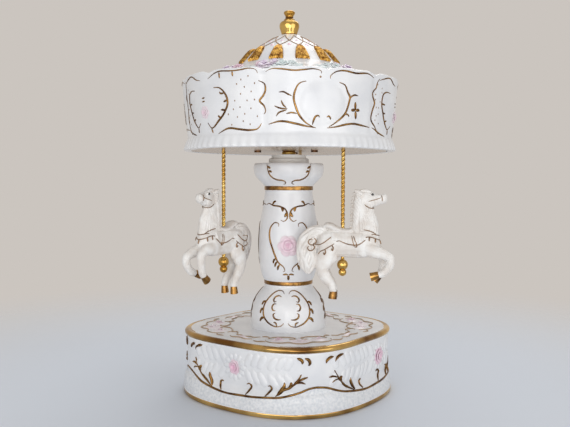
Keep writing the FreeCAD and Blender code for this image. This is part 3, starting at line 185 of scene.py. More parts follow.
# One quarter of the base, azimuth from the crest of the vine.
WALL_SPRIGS = (
    (1.5, ((-21.5, 14.4), (-17.9, 18.6), (-14.4, 20.6), (-12.2, 22.8), (-10.2, 25.6),
           (-8.2, 30.2))),
    (1.3, ((-11.2, 24.2), (-8.2, 26.4), (-4.8, 28.0))),
    (1.2, ((-11.8, 23.4), (-8.6, 24.4), (-6.0, 23.2))),
    (2.2, ((-14.6, 20.4), (-13.4, 23.0), (-13.6, 25.4))),
    (2.4, ((-20.8, 15.0), (-17.9, 19.4), (-16.7, 23.1), (-17.0, 25.1))),
    (1.2, ((-27.3, 13.6), (-25.0, 16.6), (-23.4, 19.6), (-24.2, 21.2), (-25.8, 20.6))),
    (1.2, ((-39.0, 12.6), (-36.6, 16.4), (-35.4, 19.0), (-36.6, 20.7), (-39.0, 19.6))),
    (1.5, ((25.3, 13.6), (21.0, 16.2), (18.0, 18.3), (15.1, 21.6), (12.2, 26.2), (10.0, 31.0))),
    (1.3, ((12.8, 25.0), (9.4, 26.6), (6.4, 26.3))),
    (1.2, ((13.6, 24.0), (10.6, 23.8), (8.0, 22.0))),
    (2.2, ((15.4, 21.2), (14.6, 24.0), (16.0, 26.0))),
    (2.2, ((26.2, 13.4), (24.4, 17.2), (23.0, 20.4), (23.0, 23.4))),
    (1.2, ((33.8, 12.4), (31.8, 16.0), (31.8, 18.0), (33.0, 18.9), (34.2, 18.2))),
    (1.8, ((-10.8, 40.9), (-8.6, 39.8), (-7.8, 38.4), (-8.1, 36.6))),
    (1.8, ((-6.8, 40.8), (-4.6, 39.4), (-4.0, 37.4), (-4.8, 35.3))),
    (1.8, ((9.9, 40.4), (6.6, 39.4), (5.2, 37.8), (5.0, 36.0))),
    (1.8, ((17.1, 40.8), (12.8, 39.6), (10.8, 37.6), (10.5, 35.5))),
)
# Moulded leaves of the base wall, (azimuth from the leaf's place, height).
WALL_LEAVES = (
    ((4.0, 41.6), (2.6, 38.6), (0.9, 35.0), (0.0, 31.4)),
    ((-0.2, 30.2), (0.8, 27.2), (2.4, 23.6), (4.4, 20.0)),
)
# One third of the vase, azimuth from the middle of its heart; the right half mirrors the left.
VASE_HALF = (
    (1.0, ((-59.5, 141.4), (-50.8, 142.6), (-36.1, 141.3), (-18.3, 140.4), (-8.2, 138.8),
           (-2.6, 134.9), (-4.2, 131.0), (-9.8, 129.6), (-16.7, 130.8))),
    (1.6, ((-16.4, 140.3), (-13.2, 138.6), (-12.4, 136.6))),
    (1.6, ((-8.6, 132.6), (-6.0, 134.2), (-4.0, 136.6))),
    (1.4, ((-38.6, 141.6), (-34.0, 144.0), (-28.6, 144.4))),
    (1.3, ((-19.6, 125.4), (-19.4, 127.6), (-26.8, 128.6), (-35.3, 126.0), (-38.7, 121.3),
           (-36.9, 115.4), (-31.6, 109.5), (-26.4, 104.3), (-20.6, 99.4), (-8.4, 94.8),
           (-7.2, 92.8), (-11.7, 92.0))),
    (1.4, ((-24.0, 102.0), (-28.6, 100.6), (-31.0, 97.8))),
    (1.4, ((-21.0, 99.8), (-25.4, 98.0), (-27.4, 95.2))),
    (1.4, ((-16.4, 97.6), (-20.4, 95.6), (-21.8, 92.8))),
    (1.2, ((-12.0, 89.6), (-6.0, 90.2), (0.0, 89.8))),
    (1.0, ((-1.2, 89.6), (-1.0, 87.4), (-0.6, 85.4))),
)
CAPITAL_HALF = (
    (1.2, ((-41.0, 172.4), (-39.5, 169.6), (-37.5, 166.4), (-34.5, 163.4), (-30.0, 161.7),
           (-21.6, 160.3), (-11.0, 159.8), (-6.6, 158.8), (-7.4, 157.4), (-12.6, 157.1))),
    (1.5, ((-40.2, 170.6), (-35.0, 169.4), (-31.6, 168.8))),
    (1.5, ((-37.6, 166.6), (-32.6, 166.6), (-29.4, 165.8))),
)
FOOT_HALF = (
    (1.2, ((-4.4, 75.2), (-6.8, 76.9), (-16.0, 77.8), (-26.0, 76.2), (-33.4, 72.5), (-37.9, 67.6),
           (-38.3, 62.9), (-36.2, 59.0), (-30.8, 55.9), (-22.7, 53.4), (-13.8, 52.2), (-6.6, 53.1),
           (-2.6, 55.2))),
    (1.7, ((-36.8, 70.0), (-41.4, 69.4), (-43.8, 66.8))),
    (1.7, ((-38.4, 65.0), (-43.0, 63.4), (-44.6, 60.4))),
    (1.7, ((-35.0, 58.0), (-40.4, 57.4), (-44.2, 54.6))),
    (1.1, ((-8.6, 73.4), (-13.4, 74.2), (-19.6, 73.6), (-22.6, 71.6), (-20.0, 69.8),
           (-16.6, 70.6))),
    (1.1, ((-15.6, 68.6), (-20.4, 68.4), (-22.8, 66.2), (-20.6, 64.0), (-15.8, 63.8))),
    (1.1, ((-16.0, 62.4), (-19.6, 61.0), (-18.0, 58.6), (-12.6, 57.4), (-7.0, 57.6))),
    (1.0, ((-13.4, 52.3), (-15.4, 55.0), (-19.4, 55.4))),
)
# One quarter of the deck, points of (azimuth from the corner, radius).
DECK_SCROLLS = (
    (1.5, ((-25.0, 55.0), (-21.6, 61.4), (-14.0, 64.4), (-7.0, 62.6), (-3.2, 65.6), (0.0, 67.0),
           (3.2, 65.6), (7.0, 62.6), (14.0, 64.4), (21.6, 61.4), (25.0, 55.0))),
    (1.4, ((-58.0, 47.6), (-54.0, 51.6), (-48.6, 50.8), (-45.0, 53.6), (-41.4, 50.8), (-36.0, 51.6),
           (-32.0, 47.6))),
    (1.4, ((-56.0, 56.6), (-51.0, 58.8), (-45.0, 56.6), (-39.0, 58.8), (-34.0, 56.6))),
    (1.8, ((-47.6, 54.2), (-45.0, 52.4), (-42.4, 54.2))),
)
# Scrolls on both sides of a corner.
DECK_SIDES = (
    (1.5, ((-24.0, 53.0), (-21.0, 47.4), (-14.0, 45.2), (-6.4, 46.0), (-2.0, 49.2), (-4.4, 52.6),
           (-8.0, 51.2))),
    (1.8, ((-23.0, 49.4), (-27.4, 46.0), (-31.6, 47.6))),
    (1.8, ((-22.4, 60.4), (-28.0, 62.8), (-32.0, 60.2))),
)

# Roses of a quarter of the deck: azimuth from the corner, radius, half sizes along and across.
DECK_ROSES = (
    (0.0, 57.5, 6.6, 9.5), (-15.0, 55.0, 5.8, 7.0), (15.0, 55.0, 5.8, 7.0), (-45.0, 54.6, 2.6, 6.0),
)
# Roof flowers: azimuth from the rose panel, kind, and the azimuth, height and size of each bloom.
ROOF_FLOWERS = (
    (22.0, "lilac", ((0.0, 239.6, 12.5), (-8.0, 241.6, 9.0), (7.0, 242.2, 9.0))),
    (36.5, "leaf", ((0.0, 239.8, 11.5), (7.0, 241.4, 9.0), (-5.0, 243.0, 8.0))),
)
# Roof leaves: azimuth from the rose panel, and the angle at which each is laid.
ROOF_LEAVES = ((14.0, 180.0), (11.0, 230.0), (29.0, 270.0), (45.0, -20.0), (47.0, 30.0))

# Horse in its own frame: x ahead, the pole is the z axis; rows are x, y, z, half width and
# half depth in millimetres.
TRUNK = (
    (-18.5, 0, 113.5, 2.6, 3.2), (-16.5, 0, 113.5, 5.6, 7.2), (-11, 0, 114, 7.4, 10.2),
    (-3, 0, 114.5, 7.2, 10.0), (6, 0, 114.3, 7.0, 10.0), (14.4, 0, 115, 7.2, 10.6),
    (20.6, 0, 116, 6.4, 9.4), (24.6, 0, 117, 4.2, 6.6), (26.2, 0, 117.5, 1.8, 3.4),
)
NECK = (
    (14, 0, 112, 6, 10), (16.0, 0, 121, 5.6, 10.2), (16.0, 0, 129, 4.8, 9.4),
    (15.2, 0, 136.5, 4.2, 8.0), (13.9, 0, 143, 3.8, 7.2), (13.4, 0, 148.5, 3.2, 5.8),
    (13.4, 0, 151.4, 1.8, 3.4),
)
HEAD = (
    (12.4, 0, 148.8, 2.4, 3.2), (15.5, 0, 148.0, 3.6, 5.0), (19.2, 0, 146.6, 3.8, 5.7),
    (22.8, 0, 146.1, 3.3, 4.9), (26.0, 0, 146.5, 2.8, 3.7), (28.4, 0, 146.8, 3.2, 3.5),
    (30.4, 0, 147.0, 3.3, 3.5), (32.0, 0, 147.0, 1.8, 2.0),
)
# The left foreleg hangs, the right one is folded; keyed by the side.
FORELEG = {
    1: ((15.5, 3.6, 112.5, 4.4, 5.4), (20.6, 4.4, 110.6, 4.1, 4.8), (25.4, 4.8, 109.4, 3.5, 4.0),
        (28.6, 4.9, 106.8, 3.0, 3.3), (29.4, 4.9, 102.0, 2.7, 3.1), (29.0, 4.9, 97.2, 2.5, 2.9),
        (28.0, 4.8, 93.4, 2.5, 2.8), (26.6, 4.8, 91.0, 2.2, 2.4)),
    -1: ((17.0, 3.6, 112, 4.4, 5.4), (23.4, 4.4, 108.8, 4.0, 4.7), (29.6, 4.8, 107.2, 3.3, 3.8),
         (34.0, 4.9, 104.4, 2.9, 3.2), (34.0, 4.9, 100, 2.7, 3.1), (31.6, 4.9, 96.2, 2.5, 2.9),
         (28.6, 4.8, 93.6, 2.5, 2.8), (25.8, 4.8, 92.6, 2.2, 2.4)),
}
FOREHOOF = {
    1: ((27.0, 4.8, 91.4, 2.1, 2.4), (25.6, 4.8, 89.9, 2.4, 2.7), (24.2, 4.8, 88.4, 2.6, 3.0),
        (23.0, 4.8, 87.2, 2.7, 3.2)),
    -1: ((26.4, 4.8, 92.8, 2.1, 2.4), (24.4, 4.8, 92.2, 2.4, 2.7), (22.0, 4.8, 91.4, 2.6, 3.0),
         (20.2, 4.8, 90.9, 2.7, 3.2)),
}
KNEES = {
    1: (((28.9, 4.9, 105.6), (2.6, 2.6, 2.6)), ((27.6, 4.8, 92.6), (2.3, 2.4, 2.2))),
    -1: (((33.9, 4.9, 103.2), (2.4, 2.6, 2.5)), ((28.2, 4.8, 93.4), (2.3, 2.4, 2.2))),
}
HINDLEG = (
    (-10, 3.2, 110, 5, 7), (-12.8, 4.2, 102, 4.4, 6.4), (-14.2, 4.6, 95.5, 3.5, 4.8),
    (-11.2, 4.6, 89.6, 3.1, 4.0), (-7.8, 4.6, 84.6, 2.7, 3.2), (-6.6, 4.6, 81.4, 2.5, 2.8),
    (-6.4, 4.6, 79.6, 2.2, 2.4),
)
HINDHOOF = (
    (-6.4, 4.6, 80.2, 2.3, 2.5), (-6.5, 4.6, 78.4, 2.5, 2.8), (-6.7, 4.6, 76.6, 2.7, 3.0),
    (-6.9, 4.6, 74.8, 2.8, 3.2),
)
# The tail swings to the right.
TAIL = (
    (-11, 0, 119.4, 2.0, 2.2), (-15, 0, 123.4, 2.5, 2.8), (-20.5, -0.4, 122.2, 3.0, 3.9),
    (-24.8, -1.4, 117.0, 3.4, 5.5), (-26.2, -2.6, 110.2, 3.5, 6.2), (-25.4, -3.8, 103.5, 3.3, 6.0),
    (-24.6, -4.6, 97.4, 2.7, 4.4), (-24.4, -5.0, 92.8, 0.9, 1.2),
)
SADDLE = (
    (-13.4, 0, 126.0, 2.4, 1.4), (-11.6, 0, 127.3, 4.2, 2.2), (-8.8, 0, 127.0, 5, 2.6),
    (-5.4, 0, 125.5, 5.3, 2.3), (-1.5, 0, 124.0, 5.4, 2.1), (4.5, 0, 123.6, 5, 2.0),
    (8.0, 0, 124.4, 3.6, 2.0), (9.8, 0, 124.8, 2.0, 1.3),
)
EAR = ((13.4, 2.2, 150.0, 1.7, 1.6), (11.0, 2.5, 151.6, 1.8, 1.7), (8.4, 2.8, 152.9, 0.8, 0.7))
# The crest of the neck, heights and x, and a lock of the mane from it: x, side, rise and thickness.
CREST = ((126.0, 129.0, 136.5, 143.0, 148.5, 151.0), (6.8, 7.0, 7.2, 7.6, 8.4, 9.2))
MANE_LOCK = (
    (2.0, 0.5, 1.0, 0.9), (0.9, 1.6, 0.4, 1.2), (1.6, 3.2, -1.8, 1.2), (3.2, 4.1, -4.4, 1.0),
    (4.0, 4.4, -7.2, 0.4),
)
FORELOCK = (
    (11.0, 0.7, 151.4, 1.2, 1.1), (14.6, 1.0, 153.0, 1.3, 1.0), (18.4, 1.3, 152.4, 1.0, 0.8),
    (21.4, 1.2, 150.9, 0.3, 0.3),
)
# Lower edge of the saddle blanket, (x, z).
BLANKET_EDGE = (
    (-8.6, 118.0), (-5.2, 116.4), (-2.2, 116.9), (0.8, 115.6), (3.6, 114.6), (7.4, 114.0),
    (11.1, 114.3), (14.0, 115.8), (15.6, 117.6),
)
# How far the muzzle is turned to the left, in millimetres.
HEAD_TURN = 4.0
# Swellings on each side, on each leg and under the muzzle: centre and half sizes.
MUSCLES = (
    ((19.6, 2.4, 144.6), (3.8, 1.8, 4.2)), ((29.8, 1.4, 148.0), (1.5, 1.2, 1.5)),
    ((21.3, 2.8, 150.2), (1.8, 1.0, 1.2)), ((15.0, 4.6, 113.5), (6.0, 3.2, 8.4)),
    ((-10.6, 4.6, 108.6), (6.4, 3.4, 8.4)), ((22.0, 2.6, 115.6), (3.2, 3.4, 6.0)),
    ((-15.2, 4.6, 94.8), (2.2, 2.4, 2.6)), ((-8.0, 4.2, 105.0), (4.6, 2.6, 5.0)),
    ((-6.8, 4.6, 82.2), (2.6, 2.4, 1.8)),
)
CHIN = ((28.2, 0.0, 144.2), (2.2, 1.7, 1.2))
# Painted harness, side view: width and points of (x, z).
HARNESS = (
    (0.6, ((18.3, 145.0), (20.6, 145.6), (22.6, 146.1), (25.2, 146.9), (27.6, 147.8))),
    (0.7, ((27.6, 149.6), (28.1, 147.4), (28.2, 144.9))),
    (0.7, ((15.6, 142.8), (17.8, 141.0), (20.4, 140.0), (23.0, 140.2))),
    (0.8, ((15.0, 124.8), (18.6, 124.2), (21.6, 123.0), (24.2, 121.4))),
    (0.8, ((16.4, 119.4), (19.2, 119.7), (21.8, 119.2), (24.4, 118.2))),
    (1.0, ((19.3, 119.6), (19.1, 116.6))),
    (1.0, ((23.4, 118.6), (23.4, 115.6))),
    (0.9, ((-4.4, 116.3), (-2.2, 116.8), (0.8, 115.6), (3.6, 114.6), (7.0, 114.0), (11.4, 114.1),
           (14.2, 115.8), (16.6, 117.8))),
    (1.1, ((6.6, 120.8), (7.4, 117.0), (8.4, 112.8))),
    (1.1, ((8.4, 112.8), (10.2, 112.6), (10.2, 114.4), (9.0, 117.4), (7.8, 120.6))),
    (0.8, ((-4.4, 121.4), (-7.6, 119.6), (-10.7, 117.2), (-14.2, 114.8), (-18.2, 113.6),
           (-21.4, 114.6))),
    (0.8, ((-5.6, 114.8), (-9.4, 112.4), (-12.8, 110.4), (-15.8, 108.8), (-17.2, 106.8))),
    (1.1, ((-12.4, 110.6), (-11.8, 108.8), (-12.8, 106.9), (-13.4, 108.6))),
    (1.1, ((-7.2, 113.6), (-6.4, 111.6), (-6.9, 109.8), (-7.9, 111.4))),
    (0.9, ((-20.4, 118.6), (-19.0, 116.4), (-20.2, 114.0), (-22.6, 113.6), (-24.4, 115.2),
           (-23.6, 117.4), (-21.4, 117.6))),
    (0.9, ((-21.6, 113.8), (-20.0, 112.0), (-21.2, 109.8), (-23.4, 109.6), (-24.8, 111.2),
           (-24.0, 113.0))),
)

# Poles: the azimuth of each, their circle and ends in millimetres, and the horses' turn on them.
POLES = {"left": -70.5, "right": 49.5, "rear": 169.5}
POLE_CIRCLE = 51.5
POLE_FOOT, POLE_TOP = 92.5, 189.3
HEADING = 34.0 - 90.0

# Azimuths in degrees from the front: a corner of the base, a crest of its vine, its four roses,
# and the middles of a rose panel and a shield panel of the canopy.
CORNER_AZIMUTH = 8.0
CREST_AZIMUTH = 15.0
HEART_AZIMUTHS = (-33.0, 70.0, 148.0, 238.0)
HEART_HEIGHT = 30.2
ROSE_AZIMUTH = -42.0
SHIELD_AZIMUTH = 18.0
QUARTER, THIRD = 90.0, 120.0

# Profiles across a raised line and across a leaf, as shares of the half width and of the height.
SUNK = 0.35
ACROSS = np.array((-1.0, -0.6, 0.0, 0.6, 1.0))
CROWN = np.array((-SUNK, 0.74, 1.0, 0.74, -SUNK))
# Share of gold tone across a gilt line, dark brown at the edges: painted reflection.
GILT_PAINTED_REFLECTION = np.array((0.0, 0.5, 1.0, 0.5, 0.0))
LEAF_ACROSS = np.array((-1.0, -0.65, -0.25, 0.0, 0.25, 0.65, 1.0))
LEAF_CROWN = np.array((-0.4, 0.8, 1.0, 0.5, 1.0, 0.8, -0.4))
# Rings of a rose: petals, reach as a share of its half size, and height at the heart and the tip.
ROSE_RINGS = ((6, 1.0, -0.1, 0.34), (5, 0.72, 0.1, 0.7), (3, 0.42, 0.4, 1.0))
# The share of a line that tapers at each tip, and the usual distance between its points.
TAPER = 0.3
LINE_STEP = 0.8
BLUNT = (1.0, 1.0)

SMOOTH_ANGLE = 35.0
MERGE_DISTANCE = 0.000002
POLE_RADIUS = 0.001
LIMB_SIDES, LOCK_SIDES = 16, 10
COLUMN_AROUND = 144

# Lamps: name, place, aim, size and power.
LAMPS = (
    ("key_lamp", (-0.5, -1.2, 0.3), (0, 0, 0.17), 1.2, 5.1),
    ("fill_lamp", (0.95, -0.95, 0.22), (0, 0, 0.16), 1.2, 4.1),
    ("low_lamp", (0.1, -1.1, 0.03), (0, 0, 0.17), 0.6, 1.9),
    ("top_lamp", (0.1, 0.25, 1.3), (0, 0, 0.15), 0.9, 3.6),
    ("back_lamp", (0.3, 0.95, 1.15), (0, 0, 0.15), 0.9, 3.0),
)
SURROUND_STRENGTH = 0.44
FLOOR_RADIUS = 1.4
FLOOR_FADE = (0.16, 0.62)
# The camera fitted to the photo: place, tilt, turn and roll in degrees, and focal length in pixels.
CAMERA_PLACE = (0, -0.5523, 0.1572)
CAMERA_TILT, CAMERA_TURN, CAMERA_ROLL = 90.0 - 2.345, 0.291, 0.215
FOCAL_PIXELS, PICTURE_WIDTH, SENSOR_WIDTH = 718.0, 570.0, 36.0


def finish_row(first, second, patch, rough, grain, relief, **options):
    """A row of FINISHES: two tones, patch and grain in millimetres, roughness and relief."""
    return dict(tones=(first, second), patch=patch, rough=rough, grain=grain, relief=relief,
                **options)


FINISHES = {
    # Slip-cast white porcelain under a clear fired glaze: near white, glassy, with the faint waver
    # of poured glaze.
    "glazed_porcelain": finish_row("glaze", "glaze_shade", 26, (0.18, 0.27), 6.0, 0.05, coat=0.25),
    # The same porcelain cast from a stippled mould: pits break its shine; grey mottle is painted
    # shade.
    "stippled_porcelain": finish_row("glaze", "#DCDFE3", 1.8, (0.26, 0.42), 1.2, 0.8, coat=0.2),
    # Burnished liquid gold fired on the glaze; its brown patches are painted dark reflection.
    "burnished_gold": finish_row("gold", "gold_shade", 9, (0.13, 0.26), 1.6, 0.14, metallic=1.0),
    # The same gold laid with a fine brush, dark brown along both edges: painted reflection.
    "brushed_gold_line": finish_row(
        "gold", "gold_shade", 7, (0.13, 0.26), 1.4, 0.14, metallic=1.0, blush="#4A2E18"),
    # Thick gold on the base's rim and foot: deep and even; its slow drift to brown is painted
    # reflection.
    "thick_gold_rim": finish_row("#E8C076", "#7A5329", 34, (0.08, 0.16), 2.2, 0.06, metallic=1.0),
    # Polished brass plating: clear yellow metal with very fine polishing marks.
    "polished_brass": finish_row("brass", "#B3853A", 9, (0.08, 0.18), 0.9, 0.05, metallic=1.0),
    # Dark brown brass in the knob's groove, neck and foot: painted shade.
    "toned_brass": finish_row("#8A6230", "#6E4A22", 6, (0.22, 0.34), 0.9, 0.1, metallic=1.0),
    # Unglazed ivory porcelain drifting between two ivories: satin, finely grained.
    "ivory_bisque": finish_row("bisque", "bisque_shade", 7, (0.36, 0.5), 0.8, 0.3),
    # Thin bronze-brown gold brushed on bisque: half metallic and dull.
    "brushed_bronze_gold": finish_row("harness", "#7F6249", 5, (0.3, 0.45), 0.8, 0.2, metallic=0.6),
    # Worn gold wash on deck scrolls: pale grey-brown, hardly metallic; partly painted reflection.
    "worn_gold_wash": finish_row("#BFA48C", "#99805F", 5, (0.25, 0.4), 0.8, 0.2, metallic=0.4),
    # Gold over moulded threads, flecked bright and dark brown at random: painted glints and shade.
    "threaded_gold": finish_row("#DDAE58", "#74481C", 2.2, (0.24, 0.38), 1.0, 0.4, metallic=1.0),
    # Black overglaze enamel: a small glassy dark dot.
    "black_enamel": finish_row("#191614", "#2A2420", 2, (0.08, 0.14), 1.0, 0.05, coat=0.5),
    # Moulded white plastic: satin skin, faint flow clouds.
    "moulded_white_plastic": finish_row("#F6F5F2", "#ECEAE6", 18, (0.3, 0.42), 1.2, 0.15),
    # Zinc plated steel: bluish grey with fine crystalline patches.
    "zinc_plated_steel": finish_row("#B9BCC0", "#9EA2A8", 3, (0.26, 0.4), 0.8, 0.1, metallic=1.0),
    # Blued spring steel: dark blue-grey.
    "blued_spring_steel": finish_row("#5D6470", "#474C57", 6, (0.2, 0.34), 0.9, 0.1, metallic=1.0),
    # Die-cast zinc: grey, slightly grainy as cast.
    "die_cast_zinc": finish_row("#A9AAA8", "#92938F", 8, (0.38, 0.55), 0.9, 0.3, metallic=1.0),
    # Pressed fibre board: brown felted fibres, matt.
    "pressed_fibre_board": finish_row("#7A5B3E", "#654930", 5, (0.7, 0.85), 0.8, 0.45),
    # Planed pine: pale bands along the grain, matt; the grain runs along x.
    "planed_pine": finish_row(
        "#D2B183", "#B88F5E", 6, (0.55, 0.7), 1.5, 0.3, stretch=(0.12, 1, 1)),
    # Machined brass: yellow, with fine turning marks.
    "machined_brass": finish_row("#CFA75A", "#B98F45", 5, (0.2, 0.34), 0.7, 0.15, metallic=1.0),
    # Dark moulded plastic: near black, satin.
    "dark_moulded_plastic": finish_row("#26262A", "#1C1C1F", 6, (0.35, 0.5), 0.8, 0.15),
    # Lacquered board under the canopy: softly glossy, darkened from cream to tan as painted shade.
    "cream_lacquered_board": finish_row(
        "#BAA28A", "#A99077", 22, (0.22, 0.34), 2.5, 0.12, coat=0.3),
    # Bronzed steel screws: dark brown.
    "bronzed_steel": finish_row("#6A4A30", "#4A3222", 2, (0.2, 0.32), 0.6, 0.1, metallic=1.0),
}
# Soft overglaze enamels on raised petals: deep in the heart, washed out to porcelain at the tips.
for flower in ("rose", "lilac", "leaf"):
    FINISHES[flower + "_enamel"] = finish_row(
        flower, flower, 4, (0.16, 0.28), 1.6, 0.15, coat=0.3, blush="#F4EEF0")
# Finishes of the CAD nodes that stay in view, by material slot and, for a few, by node.
SLOT_FINISHES = {
    "porcelain": "glazed_porcelain", "bisque": "ivory_bisque", "brass": "polished_brass",
    "white_plastic": "moulded_white_plastic", "steel": "zinc_plated_steel",
    "spring_steel": "blued_spring_steel", "zinc_casting": "die_cast_zinc",
    "fibre_board": "pressed_fibre_board", "soft_wood": "planed_pine",
    "movement_brass": "machined_brass", "dark_plastic": "dark_moulded_plastic",
}
NODE_FINISHES = {"canopy_floor": "cream_lacquered_board", "plate_screws": "bronzed_steel"}


def tint(name, description, colour):
    """A colour that the user can set, given as an sRGB hex colour."""
    return FloatVectorProperty(name=name, description=description, subtype="COLOR",
                               default=linear(colour))


def length(name, description, metres):
    """A length that the user can set."""
    return FloatProperty(name=name, description=description, unit="LENGTH", default=metres)


class BOX_PG_colours(bpy.types.PropertyGroup):
    """Colours of the glaze, gilding, enamels and stage."""

    glaze: tint("Glaze", "Clear glaze over white porcelain", "#F2F2F3")
    glaze_shade: tint("Glaze shade", "Where the glaze pools thicker", "#E5E6E9")
    bisque: tint("Bisque", "Unglazed ivory of the horses", "#F2F0ED")
    bisque_shade: tint("Bisque shade", "Toned hollows of the horses", "#E0D9D2")
    # Both gold tones are darkened, the second to brown: painted reflection of a dark room.
    gold: tint("Gilding", "Burnished gold lines and bands", "#B58A4E")
    gold_shade: tint("Thin gilding", "Where the gold is fired thin and brown", "#5C3D22")
    brass: tint("Brass", "Polished plated poles, balls and knob", "#E2BE70")
    rose: tint("Rose", "Pink of the raised roses", "#EBB4CE")
    lilac: tint("Lilac", "Lilac of the roof flowers", "#E3CFE8")
    leaf: tint("Leaf", "Blue-green of the roof leaves", "#CDE4E3")
    harness: tint("Harness", "Thin brown gold of the harness", "#A08164")
    floor: tint("Floor", "Pale floor under the object", "#D9DEE6")
    backdrop: tint("Backdrop", "Warm grey seen behind the object", "#CBC5BF")


class BOX_PG_sizes(bpy.types.PropertyGroup):
    """Sizes of the ornament that a maker would change."""

    gilt_height: length("Gilding height", "How far gilt lines stand up", 0.00032)
    gilt_share: FloatProperty(name="Gilding width", subtype="FACTOR", default=1.35,
                              description="Width of gilt lines against those drawn")
    relief_height: length("Relief height", "Height of the moulded leaves", 0.0008)
    flutes: IntProperty(name="Hem flutes", description="Flutes round the canopy hem", default=76)
    flute_depth: length("Flute depth", "Depth of the hem flutes", 0.0003)
    twist_pitch: length("Twist pitch", "Height of one turn of the twisted poles", 0.0066)
    clay_grain: length("Clay grain", "Voxel size of the fused horse", 0.00038)


def smooth(points, step, measure=2):
    """Points about a step apart on a smooth line through the given ones.

    Distances are measured over the first columns.
    """
    points = np.array(points, float)
    gaps = np.linalg.norm(np.diff(points[:, :measure], axis=0), axis=1)
    knots = np.concatenate(([0.0], np.cumsum(gaps)))
    slopes = np.diff(points, axis=0) / gaps[:, None]
    weights = (gaps[:-1] + gaps[1:])[:, None]
    inner = (slopes[:-1] * gaps[1:, None] + slopes[1:] * gaps[:-1, None]) / weights
    tangents = np.vstack((slopes[:1], inner, slopes[-1:]))
    wanted = np.linspace(0.0, knots[-1], max(int(round(knots[-1] / step)), 3) + 1)
    near = np.clip(np.searchsorted(knots, wanted, side="right") - 1, 0, len(gaps) - 1)
    reach = gaps[near][:, None]
    u = (wanted - knots[near])[:, None] / reach
    start = (2 * u**3 - 3 * u**2 + 1) * points[near]
    start = start + (u**3 - 2 * u**2 + u) * reach * tangents[near]
    end = (3 * u**2 - 2 * u**3) * points[near + 1] + (u**3 - u**2) * reach * tangents[near + 1]
    return start + end


def arc(points):
    """Sine and cosine of each angle in degrees."""
    return [(math.sin(math.radians(a)), math.cos(math.radians(a))) for a in points]


def unit(rows):
    """Rows of numbers scaled to a length of one."""
    return rows / np.linalg.norm(rows, axis=1)[:, None]


def ramp(value, start, run):
    """A share that climbs from 0 at a start to 1 a run further on."""
    return np.clip((value - start) / run, 0.0, 1.0)


def offset(azimuth, middle, period):
    """Degrees from the nearest of several places that are a period apart."""
    return np.mod(azimuth - middle + period / 2, period) - period / 2


def rows_of(items, key):
    """One row of three numbers for each item of a mesh."""
    rows = np.empty(len(items) * 3)
    items.foreach_get(key, rows)
    return rows.reshape(-1, 3)


def move_points(mesh, places):
    """Moves every point of a mesh to a place in metres."""
    mesh.vertices.foreach_set("co", places.ravel())
    mesh.update()


class Wall:
    """A turned face; a place on it is an azimuth in degrees and millimetres along the outline."""

    hand = 1.0

    def __init__(self, outline, rule=None):
        self.radius, self.height = np.array(outline, float).T
        steps = np.hypot(np.diff(self.radius), np.diff(self.height))
        self.length = np.concatenate(([0.0], np.cumsum(steps)))
        self.out = np.gradient(self.height, self.length)
        self.up = -np.gradient(self.radius, self.length)
        self.rule = rule

    def scale(self, points):
        """Millimetres to a degree of azimuth, at the middle height of some points."""
        height = np.mean(np.array(points)[:, 1])
        return math.radians(1.0) * float(np.interp(height, self.height, self.radius))

    def along(self, heights):
        """Millimetres along the outline at some heights."""
        return np.interp(heights, self.height, self.length)

    def at(self, azimuth, along, lift):
        """Points in metres, lifted off the face by some millimetres."""
        radius, height, out, up = (
            np.interp(along, self.length, row)
            for row in (self.radius, self.height, self.out, self.up)
        )
        radius, height = radius + lift * out, height + lift * up
        if self.rule:
            radius, height = self.rule(azimuth, radius, height)
        turn = np.radians(azimuth)
        return np.stack((radius * np.sin(turn), -radius * np.cos(turn), height), axis=-1) * MM


class Deck:
    """The flat top of the base; a place on it is an azimuth and a radius in millimetres."""

    hand = -1.0
    top = 48.0

    def scale(self, points):
        """Millimetres to a degree of azimuth, at the middle radius of some points."""
        return math.radians(1.0) * float(np.mean(np.array(points)[:, 1]))

    def along(self, radii):
        """The radii themselves, as the deck is measured outwards."""
        return np.array(radii, float)

    def at(self, azimuth, along, lift):
        """Points in metres, lifted off the deck by some millimetres."""
        turn = np.radians(azimuth)
        height = np.broadcast_to(self.top + lift, np.shape(along))
        return np.stack((along * np.sin(turn), -along * np.cos(turn), height), axis=-1) * MM


class Flank:
    """One side of the horse; a place on it is x and z in millimetres, seen from that side."""

    eye_distance = 30.0
    spine_distance = 1.5

    def __init__(self, figure, side):
        self.tree = BVHTree.FromObject(figure, bpy.context.evaluated_depsgraph_get())
        self.side = side
        self.hand = -float(side)

    def scale(self, points):
        """Places are millimetres already."""
        return 1.0

    def along(self, heights):
        """The heights themselves."""
        return np.array(heights, float)

    def seen(self, ahead, height):
        """The spot of hide that is seen at a place, and its normal."""
        eye = Vector((ahead, self.eye_distance * self.side, height)) * MM
        found, normal = self.tree.ray_cast(eye, Vector((0, -self.side, 0)))[:2]
        if found is None:
            inside = Vector((ahead, self.spine_distance * self.side, height)) * MM
            found, normal = self.tree.find_nearest(inside)[:2]
        return found, normal

    def at(self, across, height, lift):
        """Points in metres, lifted off the hide by some millimetres."""
        across, height, lift = np.broadcast_arrays(across, height, lift)
        made = []
        for u, z, off in zip(across.ravel(), height.ravel(), lift.ravel()):
            found, normal = self.seen(u, z)
            made.append(found + normal * off * MM)
        return np.array(made).reshape(*across.shape, 3)


class Breast(Flank):
    """The front of the horse; a place on it is y and z in millimetres, seen from ahead."""

    eye_distance = 60.0

    def __init__(self, figure):
        super().__init__(figure, 1)
        self.hand = 1.0

    def seen(self, aside, height):
        """The spot of hide that is seen at a place, and its normal."""
        eye = Vector((self.eye_distance, aside, height)) * MM
        return self.tree.ray_cast(eye, Vector((-1, 0, 0)))[:2]


def deselect():
    """Leaves object mode with nothing selected."""
    if bpy.context.object and bpy.context.object.mode != "OBJECT":
        bpy.ops.object.mode_set(mode="OBJECT")
    bpy.ops.object.select_all(action="DESELECT")


